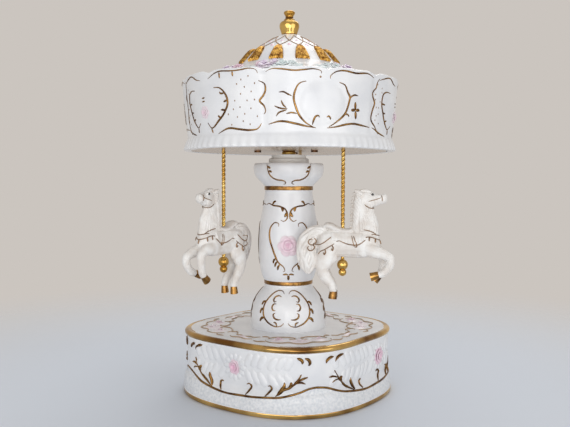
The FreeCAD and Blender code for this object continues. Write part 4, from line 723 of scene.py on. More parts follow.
def select(*pieces):
    """Selects only some pieces, the first of them active."""
    deselect()
    for piece in pieces:
        piece.select_set(True)
    bpy.context.view_layer.objects.active = pieces[0]


def named(name):
    """The object just made, with a name for it and its mesh."""
    piece = bpy.context.object
    piece.name = piece.data.name = name
    return piece


def close_up(piece, angle=SMOOTH_ANGLE):
    """Merges seams and poles, turns faces outwards and smooths the shading below an angle."""
    select(piece)
    bpy.ops.object.mode_set(mode="EDIT")
    bpy.ops.mesh.select_all(action="SELECT")
    bpy.ops.mesh.remove_doubles(threshold=MERGE_DISTANCE)
    bpy.ops.mesh.normals_make_consistent(inside=False)
    bpy.ops.object.mode_set(mode="OBJECT")
    bpy.ops.object.shade_smooth_by_angle(angle=math.radians(angle))
    return piece


def turned(name, outline, columns, rule=None):
    """A ring drawn up along an outline of (radius, height), closed unless it ends in a pole."""
    deselect()
    bpy.context.tool_settings.mesh_select_mode = (True, False, False)
    radius, height = outline[0]
    bpy.ops.mesh.primitive_circle_add(vertices=columns, radius=radius * MM,
                                      location=(0, 0, height * MM), rotation=(0, 0, 0))
    piece = named(name)
    bpy.ops.object.transform_apply(location=True, rotation=True, scale=True)
    bpy.ops.object.mode_set(mode="EDIT")
    last = [] if outline[-1][0] < POLE_RADIUS else [outline[0]]
    for (r0, z0), (r1, z1) in zip(outline, list(outline[1:]) + last):
        rise = {"value": (0, 0, (z1 - z0) * MM)}
        bpy.ops.mesh.extrude_region_move(TRANSFORM_OT_translate=rise)
        bpy.ops.transform.resize(value=(r1 / r0, r1 / r0, 1), center_override=(0, 0, 0))
    bpy.ops.object.mode_set(mode="OBJECT")
    if rule:
        press(piece, rule)
    return close_up(piece)


def press(piece, rule):
    """Moves every point of a turned piece by a rule for its radius and height."""
    x, y, z = rows_of(piece.data.vertices, "co").T / MM
    turn = np.arctan2(x, -y)
    radius, height = rule(np.degrees(turn), np.hypot(x, y), z)
    made = np.stack((radius * np.sin(turn), -radius * np.cos(turn), height), axis=-1) * MM
    move_points(piece.data, made)


def quilt(name, patches, shades=None):
    """One sheet of quads cut into patches, each a block of rows by columns of points in metres."""
    columns = patches[0].shape[1]
    rows = [patch.shape[0] for patch in patches]
    deselect()
    bpy.context.tool_settings.mesh_select_mode = (False, False, True)
    bpy.ops.mesh.primitive_grid_add(x_subdivisions=columns - 1, y_subdivisions=sum(rows) - 1,
                                    size=1)
    piece = named(name)
    mesh = piece.data
    points = np.concatenate([patch.reshape(-1, 3) for patch in patches])
    mesh.vertices.foreach_set("co", points.ravel())
    bridges = np.zeros(sum(rows) - 1, bool)
    bridges[np.cumsum(rows)[:-1] - 1] = True
    mesh.vertices.foreach_set("select", np.zeros(len(mesh.vertices), bool))
    mesh.edges.foreach_set("select", np.zeros(len(mesh.edges), bool))
    mesh.polygons.foreach_set("select", np.repeat(bridges, columns - 1))
    if bridges.any():
        bpy.ops.object.mode_set(mode="EDIT")
        bpy.ops.mesh.delete(type="FACE")
        bpy.ops.object.mode_set(mode="OBJECT")
    mesh.uv_layers.remove(mesh.uv_layers[0])
    if shades is not None:
        blush = mesh.attributes.new("blush", "FLOAT", "POINT")
        blush.data.foreach_set("value", np.concatenate([shade.ravel() for shade in shades]))
    bpy.ops.object.shade_smooth()
    return piece


def stroke(surface, points, width, height, tips=(0.3, 0.3), step=LINE_STEP):
    """A raised line with a rounded back through points of a surface, thinned towards its tips."""
    points = np.array(points, float)
    scale = surface.scale(points)
    line = smooth(np.column_stack((points[:, 0] * scale, surface.along(points[:, 1]))), step)
    way = unit(np.gradient(line, axis=0))
    share = np.linspace(0, 1, len(line))
    body = np.minimum(1, tips[0] + (1 - tips[0]) * share / TAPER)
    body = body * np.minimum(1, tips[1] + (1 - tips[1]) * (1 - share) / TAPER)
    half = 0.5 * width * body[:, None] * ACROSS * surface.hand
    lift = height * CROWN * np.sqrt(body)[:, None]
    lift[[0, -1]] = -SUNK * height
    azimuth = (line[:, :1] + half * way[:, 1:]) / scale
    return surface.at(azimuth, line[:, 1:] - half * way[:, :1], lift)


def moved(points, azimuth, mirrored=False):
    """Points of a stroke turned to an azimuth, mirrored first if asked."""
    return [((-a if mirrored else a) + azimuth, z) for a, z in points]


def strokes(surface, table, azimuth, share, height, mirrored=False, step=LINE_STEP):
    """Every line of a table, turned to an azimuth, with its width multiplied by a share."""
    return [stroke(surface, moved(points, azimuth, mirrored), share * width, height, step=step)
            for width, points in table]


def centred(surface, azimuth, height):
    """Millimetres to a degree and the distance along the surface, at one place."""
    return surface.scale([(azimuth, height)]), surface.along(np.array([height]))[0]


def oval(surface, azimuth, height, long, wide, out, corners, rise):
    """A patch of oval rings, with half sizes along and across the surface and a rise for each."""
    scale, middle = centred(surface, azimuth, height)
    angle = np.linspace(0.0, -2 * np.pi, corners) * surface.hand
    return surface.at(azimuth + wide * out * np.cos(angle) / scale,
                      middle + long * out * np.sin(angle), rise + 0 * angle)


def spot(surface, azimuth, height, long, wide, lift):
    """A small painted or raised dot."""
    out = np.linspace(0.0, 1.0, 4)[:, None]
    rise = lift * (1 - out**2) - 0.12 * out**3
    return oval(surface, azimuth, height, long, wide, out, 9, rise)


def cushion(surface, azimuth, height, long, wide, lift):
    """A low oval swelling, and its blush, which is strongest in the middle."""
    out = np.linspace(0.0, 1.0, 9)[:, None]
    rise = lift * (1 - out**2) ** 1.5 - 0.1 * out**6
    patch = oval(surface, azimuth, height, long, wide, out, 33, rise)
    return patch, np.clip(0.62 - 0.75 * out**2 + np.zeros(patch.shape[1]), 0.0, 1.0)


def rose(surface, azimuth, height, size, tall):
    """Petals of a small rose in three rings, cupped up from the surface, no two quite alike."""
    scale, middle = centred(surface, azimuth, height)
    side = np.linspace(1.0, -1.0, 7) * surface.hand
    out = np.linspace(0.06, 1.0, 7)[:, None]
    patches, shades = [], []
    for ring, (petals, reach, low, high) in enumerate(ROSE_RINGS):
        for petal in range(petals):
            odd = math.sin(12.9 * petal + 7.3 * ring + azimuth)
            angle = 2 * np.pi * (petal + 0.37 * ring + 0.14 * odd) / petals
            angle = angle + side * 1.3 * np.pi / petals
            away = 0.5 * size * reach * (1 + 0.17 * odd) * out * (1 - 0.2 * (side * out) ** 2)
            cup = low + (high - low + 0.12 * odd) * out**1.2
            cup = cup - 0.25 * side**2 * out - 0.3 * (out > 0.99)
            patches.append(surface.at(azimuth + away * np.cos(angle) / scale,
                                      middle + away * np.sin(angle), size * tall * cup))
            # Deep in the heart; deeper along petal sides near the base: painted shade between
            # petals.
            shade = 0.75 + 0.3 * odd - 0.85 * out * reach**0.5 + 0.35 * side**2 * (1 - out)
            shades.append(np.clip(shade, 0.0, 1.0))
    return patches, shades


class Bed:
    """Petals gathered for one piece, with the blush of each."""

    def __init__(self):
        self.patches, self.shades = [], []

    def add(self, grown, pale=0.0, deep=1.0):
        """Adds patches with their shades, which are spread from pale upwards by deep."""
        patches, shades = grown
        self.patches += patches
        self.shades += [pale + deep * shade for shade in shades]

    def plant(self, name, enamel, body):
        """Makes the piece."""
        settle(quilt(name, self.patches, self.shades), (enamel,), body, "porcelain")


def leaf(surface, azimuth, height, angle, long, wide, lift):
    """A pointed leaf with a sunk midrib, laid from a place on the surface at an angle."""
    scale, middle = centred(surface, azimuth, height)
    share = np.linspace(0.0, 1.0, 8)[:, None]
    half = 0.5 * wide * np.sin(np.pi * share**0.8) ** 0.8 * (LEAF_ACROSS * surface.hand)
    turn = math.radians(angle)
    rise = lift * (LEAF_CROWN * np.sin(np.pi * (0.12 + 0.8 * share)))
    ahead = long * share
    u = ahead * math.cos(turn) + half * math.sin(turn)
    v = ahead * math.sin(turn) - half * math.cos(turn)
    return surface.at(azimuth + u / scale, middle + v, rise)


def corner_wave(azimuth):
    """A wave with its crests at the four corners of the base."""
    return np.cos(np.radians(4 * (azimuth - CORNER_AZIMUTH)))


def vine_height(azimuth):
    """Height of the vine on the base wall, which has the stippled ground below it."""
    return np.interp(np.mod(azimuth - VINE_START, QUARTER) + VINE_START, *np.array(VINE).T)


def base_rule(azimuth, radius, height):
    """Presses the round base into a square with very round corners, and pits it below the vine."""
    # The squareness grows from the foot to the wall, and from the column outwards.
    foot, wall = (4.0, 0.033), (15.0, 0.06)
    share = np.interp(height, *zip(foot, wall)) * ramp(radius, 32.0, 34.0)
    made = radius * (1 + share * corner_wave(azimuth))
    # Pits about a millimetre apart, from waves round and up that don't repeat together.
    depth, face = 0.24, 71.5
    turn = np.radians(azimuth)
    pits = np.sin(213 * turn + 2.2 * np.sin(1.9 * height + 31 * turn))
    pits = pits * np.sin(2.7 * height + 1.8 * np.sin(41 * turn))
    pits = pits + 0.6 * np.sin(151 * turn - 2.1 * height)
    zone = ramp(height, 4.2, 1.0) * ramp(-height, 0.8 - vine_height(azimuth), 1.0)
    return made + depth * (zone * (radius > face)) * pits, height


def capital_rule(azimuth, radius, height):
    """Swells the capital into four lobes towards its top, with a crease between each two."""
    share = np.interp(height, (154.0, 159.0, 164.0, 173.0), (0.0, 0.6, 1.0, 0.9))
    share = share * ramp(radius, 8.0, 8.0)
    crease = np.exp(-((np.mod(azimuth, QUARTER) - 45.0) / 5.0) ** 2)
    lobes = 0.035 * np.cos(np.radians(4 * azimuth))
    return radius * (1 + share * (lobes - 0.03 * crease)), height


def canopy_rule(azimuth, radius, height):
    """Presses the canopy into six panels with swollen shields, a fluted hem and a wavy edge."""
    sizes = bpy.context.scene.box_sizes
    outer = ramp(radius, 75.5, 1.2)
    made = radius * (1 + 0.011 * np.cos(np.radians(6 * (azimuth - SHIELD_AZIMUTH))))
    # The hem's flutes fade out towards its top and its lower edge.
    hem = ramp(-height, -191.6, 8.0) * ramp(height, 181.9, 0.8)
    flutes = np.cos(np.radians(sizes.flutes * azimuth))
    made = made + outer * hem * sizes.flute_depth / MM * flutes
    # Shields and hearts swell out of the wall, and a groove parts each two panels.
    wall = outer * ramp(height, 192.0, 3.0) * ramp(-height, -233.0, 3.0)
    shield = (offset(azimuth, SHIELD_AZIMUTH, THIRD) + 1.6) / 11.5
    bud = (offset(azimuth, ROSE_AZIMUTH, THIRD) + 5.0) / 13.0
    seam = offset(azimuth, -12.0, THIRD / 2) / 2.2
    puff = 1.5 * np.clip(1 - shield**2 - ((height - 210.5) / 14.5) ** 2, 0, 1) ** 0.8
    puff = puff + 0.9 * np.clip(1 - bud**2 - ((height - 209.0) / 13.5) ** 2, 0, 1) ** 0.9
    made = made + wall * (puff - 0.7 * np.exp(-seam**2))
    # The upper edge dips at each panel's middle and sides.
    dip = offset(azimuth, ROSE_AZIMUTH, THIRD / 4) / 3.4
    edge = 1.7 * np.exp(-dip**2) + 0.02 * np.abs(dip) ** 2
    return made, height - ramp(height, 224.0, 10.0) ** 2 * edge * outer


def between(outline, step):
    """The outline with straight runs divided so that no step is longer than some millimetres."""
    made = [tuple(outline[0])]
    for (r0, z0), (r1, z1) in zip(outline, outline[1:]):
        parts = max(int(math.ceil(math.hypot(r1 - r0, z1 - z0) / step)), 1)
        made += [(r0 + (r1 - r0) * k / parts, z0 + (z1 - z0) * k / parts)
                 for k in range(1, parts + 1)]
    return made


def add_node(tree, kind, values=(), links=(), **settings):
    """Adds a shader node with its settings, its fixed inputs and its links."""
    made = tree.nodes.new(kind)
    for key, value in settings.items():
        setattr(made, key, value)
    for socket, value in dict(values).items():
        made.inputs[socket].default_value = value
    for socket, output in dict(links).items():
        tree.links.new(output, made.inputs[socket])
    return made


def colours():
    """The colours that the user set."""
    return bpy.context.scene.box_colours


def tone(text):
    """A colour from an sRGB hex colour or the name of a colour that the user set."""
    return linear(text) if text.startswith("#") else getattr(colours(), text)


def blend(tree, share, first, second):
    """The mix of two colours, each a fixed tone or the output of a node, by a share."""
    mix = add_node(tree, "ShaderNodeMix", {}, {"Factor": share}, data_type="RGBA")
    for socket, colour in zip((s for s in mix.inputs if s.type == "RGBA"), (first, second)):
        if isinstance(colour, bpy.types.NodeSocket):
            tree.links.new(colour, socket)
        else:
            socket.default_value = (*colour, 1)
    return next(s for s in mix.outputs if s.type == "RGBA")


def blank(holder):
    """The emptied node tree of a material or world."""
    holder.use_nodes = True
    holder.node_tree.nodes.clear()
    return holder.node_tree


def finish(name):
    """A finish of the table, which drifts between its two tones and has a fine grain."""
    if name in bpy.data.materials:
        return bpy.data.materials[name]
    row = FINISHES[name]
    made = bpy.data.materials.new(name)
    tree = blank(made)
    place = add_node(tree, "ShaderNodeTexCoord").outputs["Object"]
    drawn = add_node(tree, "ShaderNodeMapping", {"Scale": row.get("stretch", (1, 1, 1))},
                     {"Vector": place}).outputs["Vector"]
    drift, fine = (
        add_node(tree, "ShaderNodeTexNoise", {"Scale": 1 / (size * MM), "Detail": detail},
                 {"Vector": drawn}).outputs["Fac"]
        for size, detail in ((row["patch"], 3.0), (row["grain"], 4.0))
    )
    spread = add_node(tree, "ShaderNodeMapRange", {"From Min": 0.35, "From Max": 0.65},
                      {"Value": drift}).outputs["Result"]
    shown = blend(tree, spread, *map(tone, row["tones"]))
    # Blush attribute: pale petal tips, and dark gilt-line edges that are painted reflection.
    if "blush" in row:
        petal = add_node(tree, "ShaderNodeAttribute", attribute_name="blush").outputs["Fac"]
        shown = blend(tree, petal, tone(row["blush"]), shown)
    low, high = row["rough"]
    shine = add_node(tree, "ShaderNodeMapRange", {"To Min": low, "To Max": high}, {"Value": fine})
    depth = {"Strength": row["relief"], "Distance": 0.2 * row["grain"] * MM}
    bump = add_node(tree, "ShaderNodeBump", depth, {"Height": fine})
    shader = add_node(
        tree, "ShaderNodeBsdfPrincipled",
        {"Metallic": row.get("metallic", 0.0), "Coat Weight": row.get("coat", 0.0),
         "Coat Roughness": 0.12},
        {"Base Color": shown, "Roughness": shine.outputs["Result"],
         "Normal": bump.outputs["Normal"]})
    add_node(tree, "ShaderNodeOutputMaterial", {}, {"Surface": shader.outputs["BSDF"]})
    return made


def settle(piece, finishes, body, slot, *nodes):
    """Gives a modelled piece its finishes and its body, and hides the nodes it stands for."""
    piece.data.materials.clear()
    for name in finishes:
        piece.data.materials.append(finish(name))
    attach(piece, body)
    if nodes:
        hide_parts(*nodes)


def gild(name, lines, body):
    """Joins strokes into one piece of gilding, bright along the crown and dark at the edges: painted
    reflection.
    """
    crown = [np.broadcast_to(GILT_PAINTED_REFLECTION, line.shape[:2]) for line in lines]
    settle(quilt(name, lines, crown), ("brushed_gold_line",), body, "porcelain")


def face_middles(piece):
    """The middle of every face in millimetres."""
    return rows_of(piece.data.polygons, "center") / MM


def gilt_sizes():
    """Height of gilt lines in millimetres, and their width against those drawn."""
    sizes = bpy.context.scene.box_sizes
    return sizes.gilt_height / MM, sizes.gilt_share


class BOX_OT_base(bpy.types.Operator):
    """Models the porcelain base with its gilt foot, plinth, wall, rim bead and deck"""

    bl_idname = "musicbox.base"
    bl_label = "Base"

    def execute(self, context):
        middle, size = (72.6, 45.8), 2.2
        bead = [(middle[0] + size * cos, middle[1] + size * sin)
                for sin, cos in arc(range(-80, 105, 12))]
        outline = between(BASE_OUTER, 0.85) + bead + DECK_OUTLINE + BASE_INNER
        piece = turned("base_porcelain", outline, columns=512, rule=base_rule)
        x, y, height = face_middles(piece).T
        azimuth = np.degrees(np.arctan2(x, -y))
        plain = np.hypot(x, y) / (1 + 0.05 * corner_wave(azimuth))
        stippled, gold = 1, 2
        kind = np.zeros(len(height), int)
        kind[(height < vine_height(azimuth)) & (height > 3.4) & (plain > 71.0)] = stippled
        kind[(height < 3.3) & (height > 0.1) & (plain > 73.0)] = gold
        kind[(height > 43.9) & (plain > 71.0)] = gold
        finishes = ("glazed_porcelain", "stippled_porcelain", "thick_gold_rim")
        settle(piece, finishes, "base", "porcelain", "base_shell")
        piece.data.polygons.foreach_set("material_index", kind)
        return {"FINISHED"}


class BOX_OT_base_ornament(bpy.types.Operator):
    """Lays the vine, sprigs, acanthus relief and roses on the base"""

    bl_idname = "musicbox.base_ornament"
    bl_label = "Base ornament"

    def execute(self, context):
        wall, deck = Wall(WALL_OUTLINE, base_rule), Deck()
        gilt, share = gilt_sizes()
        lines, scrolls, ribs = [], [], []
        roses, cartouches = Bed(), Bed()
        crests = [CREST_AZIMUTH + QUARTER * quarter for quarter in range(4)]
        for crest, heart in zip(crests, HEART_AZIMUTHS):
            vine = moved(VINE, crest - CREST_AZIMUTH)
            lines.append(stroke(wall, vine, width=1.7, height=0.55, tips=BLUNT))
            lines += strokes(wall, WALL_SPRIGS, crest, share, height=3.4 * gilt)
            ribs += self.acanthus(wall, heart, crests)
            roses.add(rose(wall, heart, HEART_HEIGHT, size=12.6, tall=0.2), pale=0.4, deep=0.6)
            corner = crest + CORNER_AZIMUTH - CREST_AZIMUTH
            scrolls += strokes(deck, DECK_SCROLLS, corner, share=0.75, height=2.0 * gilt)
            for mirrored in (False, True):
                scrolls += strokes(deck, DECK_SIDES, corner, 0.75, 2.0 * gilt, mirrored)
            for azimuth, radius, long, wide in DECK_ROSES:
                mound, blush = cushion(deck, corner + azimuth, radius, long, wide, lift=1.0)
                cartouches.add(([mound], [blush]), deep=0.5)
                bloom = rose(deck, corner + azimuth, radius, size=1.4 * long, tall=0.24)
                roses.add(bloom, deep=0.8)
        gild("base_gilding", lines, "base")
        settle(quilt("deck_scrolls", scrolls), ("worn_gold_wash",), "base", "porcelain")
        settle(quilt("base_acanthus", ribs), ("glazed_porcelain",), "base", "porcelain")
        roses.plant("base_roses", "rose_enamel", "base")
        cartouches.plant("deck_cartouches", "rose_enamel", "base")
        return {"FINISHED"}

    def acanthus(self, wall, heart, crests):
        """Moulded leaves in two rows beside a rose, clear of the crests, and a ring round it."""
        relief = bpy.context.scene.box_sizes.relief_height / MM
        clear = 11.5
        ribs = []
        for side in (-1, 1):
            for rib in range(8):
                start = 8.0 + 4.9 * rib + 0.7 * math.sin(2.1 * rib + side)
                if min(abs(offset(heart + side * start, crest, 360.0)) for crest in crests) < clear:
                    continue
                for leafy in WALL_LEAVES:
                    points = [(heart + side * (start + off), z + 0.5 * math.sin(1.7 * rib))
                              for off, z in leafy]
                    ribs.append(stroke(wall, points, width=6.2, height=0.9 * relief,
                                       tips=(0.35, 0.6), step=1.2))
        for sin, cos in arc(range(0, 360, 30)):
            points = [(heart + cos * reach * 0.86 + bow, HEART_HEIGHT + sin * reach)
                      for reach, bow in ((4.6, 0.0), (7.4, 0.7), (10.2, 0.2))]
            ribs.append(stroke(wall, points, width=4.2, height=0.8 * relief,
                               tips=(0.7, 0.3), step=1.2))
        return ribs


class BOX_OT_column(bpy.types.Operator):
    """Models the three porcelain pieces of the column, their gold bands, scrolls and roses"""

    bl_idname = "musicbox.column"
    bl_label = "Column"

    def execute(self, context):
        bore, recess = 5.5, 11.5
        for node, outline, rule in (
            ("column_foot", FOOT_OUTLINE, None), ("column_vase", VASE_OUTLINE, None),
            ("column_capital", CAPITAL_OUTLINE, capital_rule),
        ):
            line = smooth(outline, 0.9).tolist()
            top, low = line[-1][1], line[0][1]
            lid = [(bore, top)]
            if node == "column_capital":
                lid = [(recess, top), (recess, top - 8.0), (bore, top - 8.2)]
            piece = turned(node + "_porcelain", line + lid + [(bore, low)], COLUMN_AROUND, rule)
            settle(piece, ("glazed_porcelain",), "base", "porcelain", node)
        neck, inside = 18.3, 17.8
        for name, low, high in (
            ("column_lower_band", 81.0, 84.0), ("column_upper_band", 152.6, 155.8),
        ):
            middle = 0.5 * (low + high)
            swell = [(neck + 0.45 * cos**0.3, middle + 0.5 * (high - low) * sin)
                     for sin, cos in arc(range(-84, 85, 12))]
            back = [(inside, high - 0.2), (inside, low + 0.2)]
            piece = turned(name, swell + back, COLUMN_AROUND)
            settle(piece, ("burnished_gold",), "base", "porcelain")
        self.ornament()
        return {"FINISHED"}

    def ornament(self):
        """Gilt scrolls on all three pieces, and a rose in each heart of the vase."""
        gilt, share = gilt_sizes()
        height, step = 1.4 * gilt, 0.6
        foot, vase = Wall(FOOT_OUTLINE), Wall(VASE_OUTLINE)
        capital = Wall(CAPITAL_OUTLINE, capital_rule)
        lines, roses = [], Bed()
        for third in range(3):
            heart = THIRD * third
            for mirrored in (False, True):
                for surface, half, aside in ((vase, VASE_HALF, 0.0), (foot, FOOT_HALF, -3.5)):
                    lines += strokes(surface, half, heart + aside, share, height, mirrored, step)
            roses.add(rose(vase, heart, 111.8, size=14.6, tall=0.19), pale=0.12, deep=0.75)
        for middle in (0.0, 180.0):
            for mirrored in (False, True):
                lines += strokes(capital, CAPITAL_HALF, middle, share, height, mirrored, step)
        gild("column_gilding", lines, "base")
        roses.plant("column_roses", "rose_enamel", "base")


class BOX_OT_canopy(bpy.types.Operator):
    """Models the canopy's fluted hem, its panelled wall and its roof with the dome"""

    bl_idname = "musicbox.canopy"
    bl_label = "Canopy"

    def execute(self, context):
        wall = between([HEM_OUTLINE[-1]] + SKIRT_OUTLINE[1:-1], 1.5)[1:]
        skirt = between(HEM_OUTLINE, 1.2) + wall + EDGE_OUTLINE + SKIRT_INNER
        roof = [(77.4, 231.0)] + between(ROOF_OUTLINE, 2.5) + ROOF_CLOSING
        for name, outline, columns, rule in (
            ("canopy_skirt", skirt, 768, canopy_rule), ("canopy_roof", roof, 180, None),
        ):
            piece = turned(name, outline, columns, rule)
            settle(piece, ("glazed_porcelain",), "carousel", "porcelain", "canopy_shell")
        return {"FINISHED"}


class BOX_OT_canopy_ornament(bpy.types.Operator):
    """Lays gilt panels, dots and roses on the canopy, and tassels and flowers on its roof"""

    bl_idname = "musicbox.canopy_ornament"
    bl_label = "Canopy ornament"

    def execute(self, context):
        gilt, share = gilt_sizes()
        wall, roof = Wall(SKIRT_OUTLINE, canopy_rule), Wall(ROOF_OUTLINE)
        lines, dots, roses = [], [], Bed()
        for third in range(3):
            rosy, plain = THIRD * third + ROSE_AZIMUTH, THIRD * third + SHIELD_AZIMUTH
            lines += strokes(wall, ROSE_PANEL, rosy, share, height=1.3 * gilt)
            lines += strokes(wall, SHIELD_PANEL, plain, share, height=1.3 * gilt)
            dots.append(spot(wall, plain - 3.4, 227.6, long=0.9, wide=0.9, lift=gilt))
            dots += self.dots(wall, rosy)
            roses.add(rose(wall, rosy - 4.5, 206.4, size=11.6, tall=0.12), pale=0.2, deep=0.5)
        gild("canopy_gilding", lines, "carousel")
        settle(quilt("canopy_dots", dots), ("brushed_bronze_gold",), "carousel", "porcelain")
        roses.plant("canopy_roses", "rose_enamel", "carousel")
        self.tassels(roof)
        self.flowers(roof)
        return {"FINISHED"}

    def dots(self, wall, rosy):
        """Painted dots on both sides of the heart in a rose panel."""
        dot = dict(long=0.85, wide=0.6, lift=0.16)
        right_edge, left_edge = 27.0, -27.4
        made = []
        for row in range(7):
            for column in range(4):
                odd = math.sin(5.1 * row + 8.7 * column)
                azimuth = 13.0 + 5.0 * column - (2.5 if row % 2 else 0.0) + 0.8 * odd
                height = 227.4 - 4.9 * row + 1.1 * math.cos(9.3 * column + 3.7 * row)
                heart = np.interp(height, (195, 205, 212, 222), (7.0, 11.0, 14.0, 13.0))
                if heart < azimuth < right_edge:
                    made.append(spot(wall, rosy + azimuth, height, **dot))
                if column < 2 and row < 6:
                    left = rosy + left_edge + 3.4 * column + odd
                    made.append(spot(wall, left, height - 2.0, **dot))
        return made

    def tassels(self, roof):
        """Twelve gilt tassels hung from a lattice of lines on the dome, and buds between them."""
        foot, top, strand_count = 247.0, 258.6, 3.5
        bells, lattice, buds = [], [], Bed()
        side = np.linspace(-1.0, 1.0, 29)
        share = np.linspace(0.0, 1.0, 24)[:, None]
        low, high = roof.along(np.array([foot, top]))
        half = np.interp(share, (0.0, 0.08, 0.2, 0.4, 0.7, 1.0), (0.5, 1.4, 2.5, 3.6, 4.7, 5.6))
        threads = np.abs(np.cos(strand_count * np.pi * side))
        body = np.interp(share, (0.0, 0.08, 0.25, 0.5, 0.9, 1.0), (0.3, 1.4, 2.1, 2.2, 1.9, 1.2))
        lift = body * np.sqrt(np.clip(1.0 - 0.9 * side**2, 0, 1))
        lift = lift + 0.55 * threads * np.clip(share / 0.25, 0, 1)
        lift = lift - 0.6 * (np.abs(side) > 0.99) - 1.8 * (share > 0.99)
        along = high + (low - high) * share - 0.9 * threads * ramp(share, 0.8, 0.1)
        radius = np.interp(along, roof.length, roof.radius)
        for twelfth in range(12):
            azimuth = 15.0 + 30.0 * twelfth
            bells.append(roof.at(azimuth - half * side / np.radians(1.0) / radius, along, lift))
            for way in (-1, 1):
                points = [(azimuth + 7.5 * way * k, height)
                          for k, height in enumerate((top, 260.6, 262.8, 265.4, 268.2))]
                lattice.append(stroke(roof, points, width=1.0, height=0.35, tips=BLUNT))
            for aside, height, size in ((15.0, 259.0, 1.9), (0.0, 262.8, 1.5)):
                bud, blush = cushion(roof, azimuth + aside, height, size, size, lift=0.5)
                buds.add(([bud], [blush]), deep=1.5)
        settle(quilt("roof_tassels", bells), ("threaded_gold",), "carousel", "porcelain")
        settle(quilt("roof_lattice", lattice), ("brushed_bronze_gold",), "carousel", "porcelain")
        buds.plant("roof_buds", "rose_enamel", "carousel")

    def flowers(self, roof):
        """Pastel flowers and leaves round the foot of the dome, on both sides of each rose panel."""
        beds = {"lilac": Bed(), "leaf": Bed(), "rose": Bed()}
        for third in range(3):
            rosy = THIRD * third + ROSE_AZIMUTH
            for side in (-1, 1):
                for away, kind, spread in ROOF_FLOWERS:
                    for aside, height, size in spread:
                        bed = beds["rose" if kind == "lilac" and aside < 0 else kind]
                        azimuth = rosy + side * away + side * aside
                        bed.add(rose(roof, azimuth, height, size, tall=0.34), pale=0.45, deep=0.55)
                for away, angle in ROOF_LEAVES:
                    turn = angle if side > 0 else 180.0 - angle
                    blade = leaf(roof, rosy + side * away, 239.8, turn, long=8.0, wide=3.8, lift=0.8)
                    shade = np.full(blade.shape[:2], 0.6)
                    beds["leaf"].add(([blade], [shade]))
        for kind, bed in beds.items():
            bed.plant("roof_flowers_" + kind, kind + "_enamel", "carousel")


class BOX_OT_finial(bpy.types.Operator):
    """Turns the brass knob on top of the dome"""

    bl_idname = "musicbox.finial"
    bl_label = "Finial"

    def execute(self, context):
        parts = (FINIAL_OUTLINE[1:9], FINIAL_OUTLINE[9:-1])
        bulb, tip = (smooth(part, 0.5).tolist() for part in parts)
        piece = turned("finial_knob", [FINIAL_OUTLINE[0], *bulb, *tip, FINIAL_OUTLINE[-1]],
                       columns=72)
        height = face_middles(piece)[:, 2]
        kind = np.zeros(len(height), int)
        # Dark brass in these bands is painted shade.
        for low, high in FINIAL_PAINTED_SHADE:
            kind[(height > low) & (height < high)] = 1
        settle(piece, ("polished_brass", "toned_brass"), "carousel", "brass", "finial")
        piece.data.polygons.foreach_set("material_index", kind)
        return {"FINISHED"}


class BOX_OT_poles(bpy.types.Operator):
    """Models one twisted pole and copies it to the three places"""

    bl_idname = "musicbox.poles"
    bl_label = "Twisted poles"

    def execute(self, context):
        pitch = context.scene.box_sizes.twist_pitch / MM
        apart, thick, sides = 0.38, 1.12, 20
        height = np.linspace(POLE_FOOT, POLE_TOP, 360)[:, None]
        angle = np.linspace(0, 2 * np.pi, sides + 1)
        lobe = angle - 2 * np.pi * height / pitch
        radius = apart * np.abs(np.cos(lobe)) + np.sqrt(thick**2 - (apart * np.sin(lobe)) ** 2)
        rope = (radius * np.cos(angle), radius * np.sin(angle), height + 0 * angle)
        rope = np.stack(rope, axis=-1) * MM
        caps = [np.broadcast_to((0, 0, z * MM), (1, sides + 1, 3)) for z in (POLE_FOOT, POLE_TOP)]
        sheet = np.concatenate((caps[0], rope, caps[1]))
        pattern = close_up(quilt("pole_pattern", [sheet]), angle=60)
        for place, azimuth in POLES.items():
            piece = stand(pattern, f"pole_{place}_twisted", azimuth)
            settle(piece, ("polished_brass",), "carousel", "brass", f"pole_{place}")
        bpy.data.objects.remove(pattern)
        return {"FINISHED"}


def stand(pattern, name, azimuth):
    """A copy of a piece modelled round the pole's axis, turned and moved to a pole."""
    select(pattern)
    bpy.ops.object.duplicate(linked=False)
    piece = named(name)
    turn = math.radians(azimuth)
    piece.rotation_euler = (0, 0, math.radians(azimuth + HEADING))
    piece.location = (POLE_CIRCLE * MM * math.sin(turn), -POLE_CIRCLE * MM * math.cos(turn), 0)
    bpy.ops.object.transform_apply(location=True, rotation=True, scale=True)
    return piece


def limb(stations, sides=LIMB_SIDES, step=0.9):
    """A closed tube through stations of x, y, z, half width and half depth in millimetres."""
    line = smooth(stations, step, 3)
    way = unit(np.gradient(line[:, :3], axis=0))
    across = unit(np.array((0.0, 1.0, 0.0)) - way * way[:, 1:2])
    deep = np.cross(way, across)
    angle = np.linspace(0, 2 * np.pi, sides + 1)[None, :, None]
    ring = across[:, None] * np.cos(angle) * line[:, 3, None, None]
    ring = ring + deep[:, None] * np.sin(angle) * line[:, 4, None, None]
    caps = [np.broadcast_to(line[end, :3], (1, sides + 1, 3)) for end in (0, -1)]
    return np.concatenate((caps[0], line[:, None, :3] + ring, caps[1])) * MM


def lump(centre, size):
    """A rounded swelling at a centre, with half sizes along x, y and z in millimetres."""
    share = np.sin(np.linspace(-0.49, 0.49, 9) * np.pi)
    round_off = np.sqrt(1 - share**2)
    return limb([(centre[0] + size[0] * s, centre[1], centre[2], size[1] * r, size[2] * r)
                 for s, r in zip(share, round_off)], step=0.5)


def sided(stations, side):
    """Stations moved to one side of the horse."""
    return [(x, y * side, z, wide, deep) for x, y, z, wide, deep in stations]


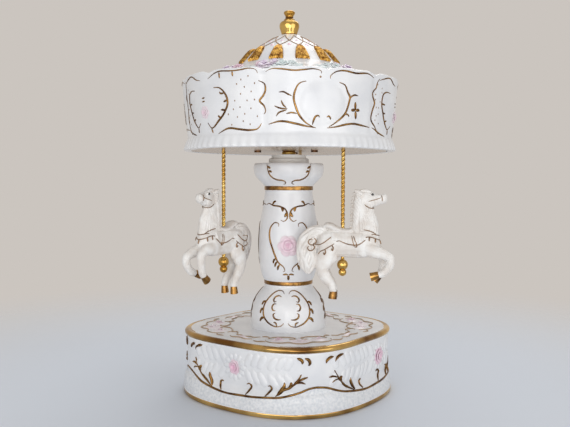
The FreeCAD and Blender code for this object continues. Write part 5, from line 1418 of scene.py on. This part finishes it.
class BOX_OT_horses(bpy.types.Operator):
    """Models one horse with its hair, saddle and hooves, paints it and copies it to the poles"""

    bl_idname = "musicbox.horses"
    bl_label = "Horses"

    def execute(self, context):
        figure = self.figure(context)
        patterns = (
            (figure, "ivory_bisque"), (self.hooves(), "burnished_gold"),
            (self.blanket(figure), "ivory_bisque"), (self.harness(figure), "brushed_bronze_gold"),
            (self.eyes(figure), "black_enamel"),
        )
        for place, azimuth in POLES.items():
            for pattern, made in patterns:
                part = pattern.name.replace("_pattern", "")
                piece = stand(pattern, f"horse_{place}_{part}", azimuth)
                nodes = (f"horse_{place}",) if pattern is figure else ()
                settle(piece, (made,), f"horse_{place}", "bisque", *nodes)
        for pattern, _ in patterns:
            bpy.data.objects.remove(pattern)
        return {"FINISHED"}

    def figure(self, context):
        """The horse's body fused from limbs, muscles and locks of hair."""
        tubes = [limb(rows) for rows in (TRUNK, NECK, HEAD, TAIL, SADDLE)]
        tubes.append(lump(*CHIN))
        for side in (1, -1):
            tubes += [limb(sided(rows, side)) for rows in (FORELEG[side], HINDLEG, EAR)]
            tubes += [lump((x, y * side, z), size) for (x, y, z), size in MUSCLES + KNEES[side]]
            tubes += self.mane(side)
        tubes += self.tail()
        parts = [quilt("clay", [tube for tube in tubes if tube.shape[1] == sides + 1])
                 for sides in (LIMB_SIDES, LOCK_SIDES)]
        select(*parts)
        bpy.ops.object.join()
        clay = named("figure_pattern")
        close_up(clay)
        places = rows_of(clay.data.vertices, "co")
        x, _, z = (places / MM).T
        places[:, 1] += HEAD_TURN * MM * ramp(x, 12.0, 20.0) ** 1.3 * ramp(z, 132.0, 10.0)
        move_points(clay.data, places)
        clay.data.remesh_voxel_size = context.scene.box_sizes.clay_grain
        bpy.ops.object.voxel_remesh()
        polish = clay.modifiers.new("polish", "SMOOTH")
        polish.factor = 0.5
        polish.iterations = 2
        bpy.ops.object.modifier_apply(modifier=polish.name)
        bpy.ops.object.shade_smooth()
        return clay

    def mane(self, side):
        """Locks down the crest, a forelock, and strands combed down one side of the neck."""
        tubes = []
        for lock in range(10):
            height = 150.4 - 2.6 * lock
            crest = float(np.interp(height, *CREST))
            tubes.append(lump((crest - 0.3, 0.7 * side, height), (1.8, 1.5, 1.15)))
            tubes.append(limb([(crest + x, y * side, height + z, thick, thick)
                               for x, y, z, thick in MANE_LOCK], LOCK_SIDES, step=0.7))
        tubes.append(limb(sided(FORELOCK, side), LOCK_SIDES, step=0.6))
        strands, points = 8, 9
        heights = np.linspace(143.0, 123.5, points)
        rises = [row[2] for row in NECK]
        middle, wide, deep = (
            np.interp(heights, rises, [row[k] for row in NECK]) for k in (0, 3, 4))
        for strand in range(strands):
            u = -0.3 + 0.15 * strand + 0.04 * np.sin(0.9 * np.arange(points) + strand)
            u = np.clip(u, -0.9, 0.9)
            path = np.column_stack((middle + u * deep, side * wide * np.sqrt(1 - u**2), heights))
            thick = np.full(points, 0.75 - 0.04 * strand)
            tubes.append(limb(np.column_stack((path, thick, thick)), LOCK_SIDES, step=1.0))
        return tubes

    def tail(self):
        """Fourteen wavy locks round the tail."""
        locks = 14
        path = smooth(TAIL, step=1.6, measure=3)
        share = np.linspace(0, 1, len(path))
        deep = np.cross(unit(np.gradient(path[:, :3], axis=0)), (0.0, 1.0, 0.0))
        thick = np.interp(share, (0.0, 0.25, 0.8, 1.0), (0.6, 1.4, 1.4, 0.4))
        tubes = []
        for lock in range(locks):
            wave = 0.2 * np.sin(2 * np.pi * (2.6 * share + 0.37 * lock))
            turn = 2 * np.pi * lock / locks + 0.5 * share + wave
            off = path[:, 3:4] * np.cos(turn)[:, None] * np.array((0.0, 1.0, 0.0))
            off = off + path[:, 4:5] * np.sin(turn)[:, None] * deep
            rows = np.column_stack((path[:, :3] + off, thick, thick))
            tubes.append(limb(rows, LOCK_SIDES))
        return tubes

    def hooves(self):
        """Four gilt hooves, closed at the sole."""
        tubes = [limb(sided(rows, side), sides=20, step=0.5)
                 for side in (1, -1) for rows in (FOREHOOF[side], HINDHOOF)]
        return close_up(quilt("hooves_pattern", tubes), angle=50)

    def blanket(self, figure):
        """The saddle blanket, laid over the back with a wavy lower edge."""
        ahead = np.linspace(BLANKET_EDGE[0][0], BLANKET_EDGE[-1][0], 40)[:, None]
        edge = np.interp(ahead, *np.array(BLANKET_EDGE).T)
        top, fold_depth, fold_pitch = 122.6, 0.26, 2.4
        share = np.linspace(0.0, 1.0, 18)
        height = edge + (top - edge) * share
        fold = fold_depth * np.cos(ahead * 2 * np.pi / fold_pitch) * (1 - share)
        lift = 0.5 + fold - 0.9 * (share < 0.01) - 0.8 * (share > 0.99)
        lift[[0, -1]] = -0.3
        patches = [Flank(figure, side).at(ahead + 0 * share, height, lift)[::-side]
                   for side in (1, -1)]
        return quilt("blanket_pattern", patches)

    def harness(self, figure):
        """Bridle, breast strap, blanket edge, crupper and tail tie as thin raised lines."""
        thin, thick, tips, step = 0.5, 0.8, (0.7, 0.7), 0.5
        lines = []
        for side in (1, -1):
            flank = Flank(figure, side)
            lines += [stroke(flank, points, width, thin if width < 1 else thick, tips, step)
                      for width, points in HARNESS]
        breast = Breast(figure)
        for height, sag in ((121.5, 0.9), (118.3, 1.1)):
            points = [(-5.0, height + 0.2), (-2.6, height - 0.6 * sag), (0.0, height - sag),
                      (2.6, height - 0.6 * sag), (5.0, height + 0.2)]
            lines.append(stroke(breast, points, width=0.8, height=thin, tips=tips, step=step))
        pendant = [(0.0, 117.4), (0.1, 115.6), (0.0, 113.8)]
        lines.append(stroke(breast, pendant, width=1.1, height=thick, tips=tips, step=step))
        return quilt("harness_pattern", lines)

    def eyes(self, figure):
        """Two glossy dark eyes."""
        ahead, height, on_hide = np.array([21.3]), np.array([150.0]), np.array([0.0])
        places = [Flank(figure, side).at(ahead, height, on_hide)[0] / MM for side in (1, -1)]
        lumps = [lump(place, size=(1.1, 0.45, 0.9)) for place in places]
        return close_up(quilt("eyes_pattern", lumps), angle=60)


class BOX_OT_fittings(bpy.types.Operator):
    """Gives the CAD nodes that stay in view their finishes"""

    bl_idname = "musicbox.fittings"
    bl_label = "Fittings and movement"

    def execute(self, context):
        slot_of = {row["node"]: row["material_slot"] for row in frame["record"]["subparts"]}
        for name, node in frame["nodes"].items():
            for slot in node.material_slots:
                slot.material = finish(NODE_FINISHES.get(name) or SLOT_FINISHES[slot_of[name]])
        return {"FINISHED"}


class BOX_OT_stage(bpy.types.Operator):
    """Sets the pale floor, the soft studio lamps, the world and the camera"""

    bl_idname = "musicbox.stage"
    bl_label = "Stage"

    def execute(self, context):
        scene = context.scene
        scene.view_settings.view_transform = "Standard"
        deselect()
        bpy.ops.mesh.primitive_circle_add(vertices=96, radius=FLOOR_RADIUS, fill_type="TRIFAN",
                                          location=(0, 0, -0.0002))
        floor = context.object
        floor.name = "floor"
        bpy.ops.object.transform_apply(location=True)
        floor.data.materials.append(self.floor_finish())
        for name, place, aim, size, power in LAMPS:
            bpy.ops.object.light_add(type="AREA", location=place)
            lamp = context.object
            lamp.name = name
            lamp.data.shape = "DISK"
            lamp.data.size = size
            lamp.data.energy = power
            way = Vector(aim) - Vector(place)
            lamp.rotation_euler = way.to_track_quat("-Z", "Y").to_euler()
        self.sky(scene)
        bpy.ops.object.camera_add(location=CAMERA_PLACE)
        camera = context.object
        tilt = Euler((math.radians(CAMERA_TILT), 0, math.radians(CAMERA_TURN))).to_matrix()
        roll = Matrix.Rotation(math.radians(CAMERA_ROLL), 3, "Z")
        camera.rotation_euler = (tilt @ roll).to_euler()
        camera.data.sensor_width = SENSOR_WIDTH
        camera.data.lens = FOCAL_PIXELS * SENSOR_WIDTH / PICTURE_WIDTH
        camera.data.clip_start = 0.01
        scene.camera = camera
        return {"FINISHED"}

    def floor_finish(self):
        # Matt pale paper that fades into the backdrop a little way from the object.
        made = bpy.data.materials.new("pale_paper")
        tree = blank(made)
        place = add_node(tree, "ShaderNodeTexCoord").outputs["Object"]
        away = add_node(tree, "ShaderNodeVectorMath", {}, {0: place}, operation="LENGTH")
        near, far = FLOOR_FADE
        fade = add_node(tree, "ShaderNodeMapRange", {"From Min": near, "From Max": far},
                        {"Value": away.outputs["Value"]}, interpolation_type="SMOOTHSTEP")
        grain = add_node(tree, "ShaderNodeTexNoise", {"Scale": 1 / (2.0 * MM)}, {"Vector": place})
        bump = add_node(tree, "ShaderNodeBump", {"Strength": 0.08, "Distance": 0.0002},
                        {"Height": grain.outputs["Fac"]})
        paper = add_node(tree, "ShaderNodeBsdfPrincipled",
                         {"Base Color": (*colours().floor, 1), "Roughness": 0.8},
                         {"Normal": bump.outputs["Normal"]})
        clear = add_node(tree, "ShaderNodeBsdfTransparent")
        mixed = add_node(tree, "ShaderNodeMixShader", {}, {
            0: fade.outputs["Result"], 1: paper.outputs["BSDF"], 2: clear.outputs["BSDF"]})
        add_node(tree, "ShaderNodeOutputMaterial", {}, {"Surface": mixed.outputs["Shader"]})
        return made

    def sky(self, scene):
        """A soft white surround that the camera and shiny surfaces see as a warm grey backdrop."""
        scene.world = bpy.data.worlds.new("studio")
        tree = blank(scene.world)
        ray = add_node(tree, "ShaderNodeLightPath").outputs
        seen = ray["Is Camera Ray"]
        for kind in ("Is Glossy Ray", "Is Transmission Ray"):
            seen = add_node(tree, "ShaderNodeMath", {}, {0: seen, 1: ray[kind]},
                            operation="MAXIMUM").outputs[0]
        lights = ((linear("#FFFFFF"), SURROUND_STRENGTH), (colours().backdrop, 1.0))
        soft, back = (
            add_node(tree, "ShaderNodeBackground",
                     {"Color": (*colour, 1), "Strength": strength}).outputs["Background"]
            for colour, strength in lights
        )
        mixed = add_node(tree, "ShaderNodeMixShader", {}, {0: seen, 1: soft, 2: back})
        add_node(tree, "ShaderNodeOutputWorld", {}, {"Surface": mixed.outputs["Shader"]})


OPERATORS = (
    BOX_OT_base, BOX_OT_base_ornament, BOX_OT_column, BOX_OT_canopy, BOX_OT_canopy_ornament,
    BOX_OT_finial, BOX_OT_poles, BOX_OT_horses, BOX_OT_fittings, BOX_OT_stage,
)


class BOX_PT_sidebar(bpy.types.Panel):
    """Lists the pieces of the music box"""

    bl_idname = "BOX_PT_sidebar"
    bl_label = "Music box"
    bl_space_type = "VIEW_3D"
    bl_region_type = "UI"
    bl_category = "Music box"

    def draw(self, context):
        for group in (context.scene.box_sizes, context.scene.box_colours):
            for key in group.__annotations__:
                self.layout.prop(group, key)
        for operator in OPERATORS:
            self.layout.operator(operator.bl_idname)


CLASSES = (BOX_PG_colours, BOX_PG_sizes, *OPERATORS, BOX_PT_sidebar)


def register():
    for made in CLASSES:
        bpy.utils.register_class(made)
    bpy.types.Scene.box_colours = PointerProperty(type=BOX_PG_colours)
    bpy.types.Scene.box_sizes = PointerProperty(type=BOX_PG_sizes)


def unregister():
    del bpy.types.Scene.box_sizes
    del bpy.types.Scene.box_colours
    for made in reversed(CLASSES):
        bpy.utils.unregister_class(made)


def main():
    register()
    bpy.ops.musicbox.base()
    bpy.ops.musicbox.base_ornament()
    bpy.ops.musicbox.column()
    bpy.ops.musicbox.canopy()
    bpy.ops.musicbox.canopy_ornament()
    bpy.ops.musicbox.finial()
    bpy.ops.musicbox.poles()
    bpy.ops.musicbox.horses()
    bpy.ops.musicbox.fittings()
    bpy.ops.musicbox.stage()


if __name__ == "__main__":
    main()
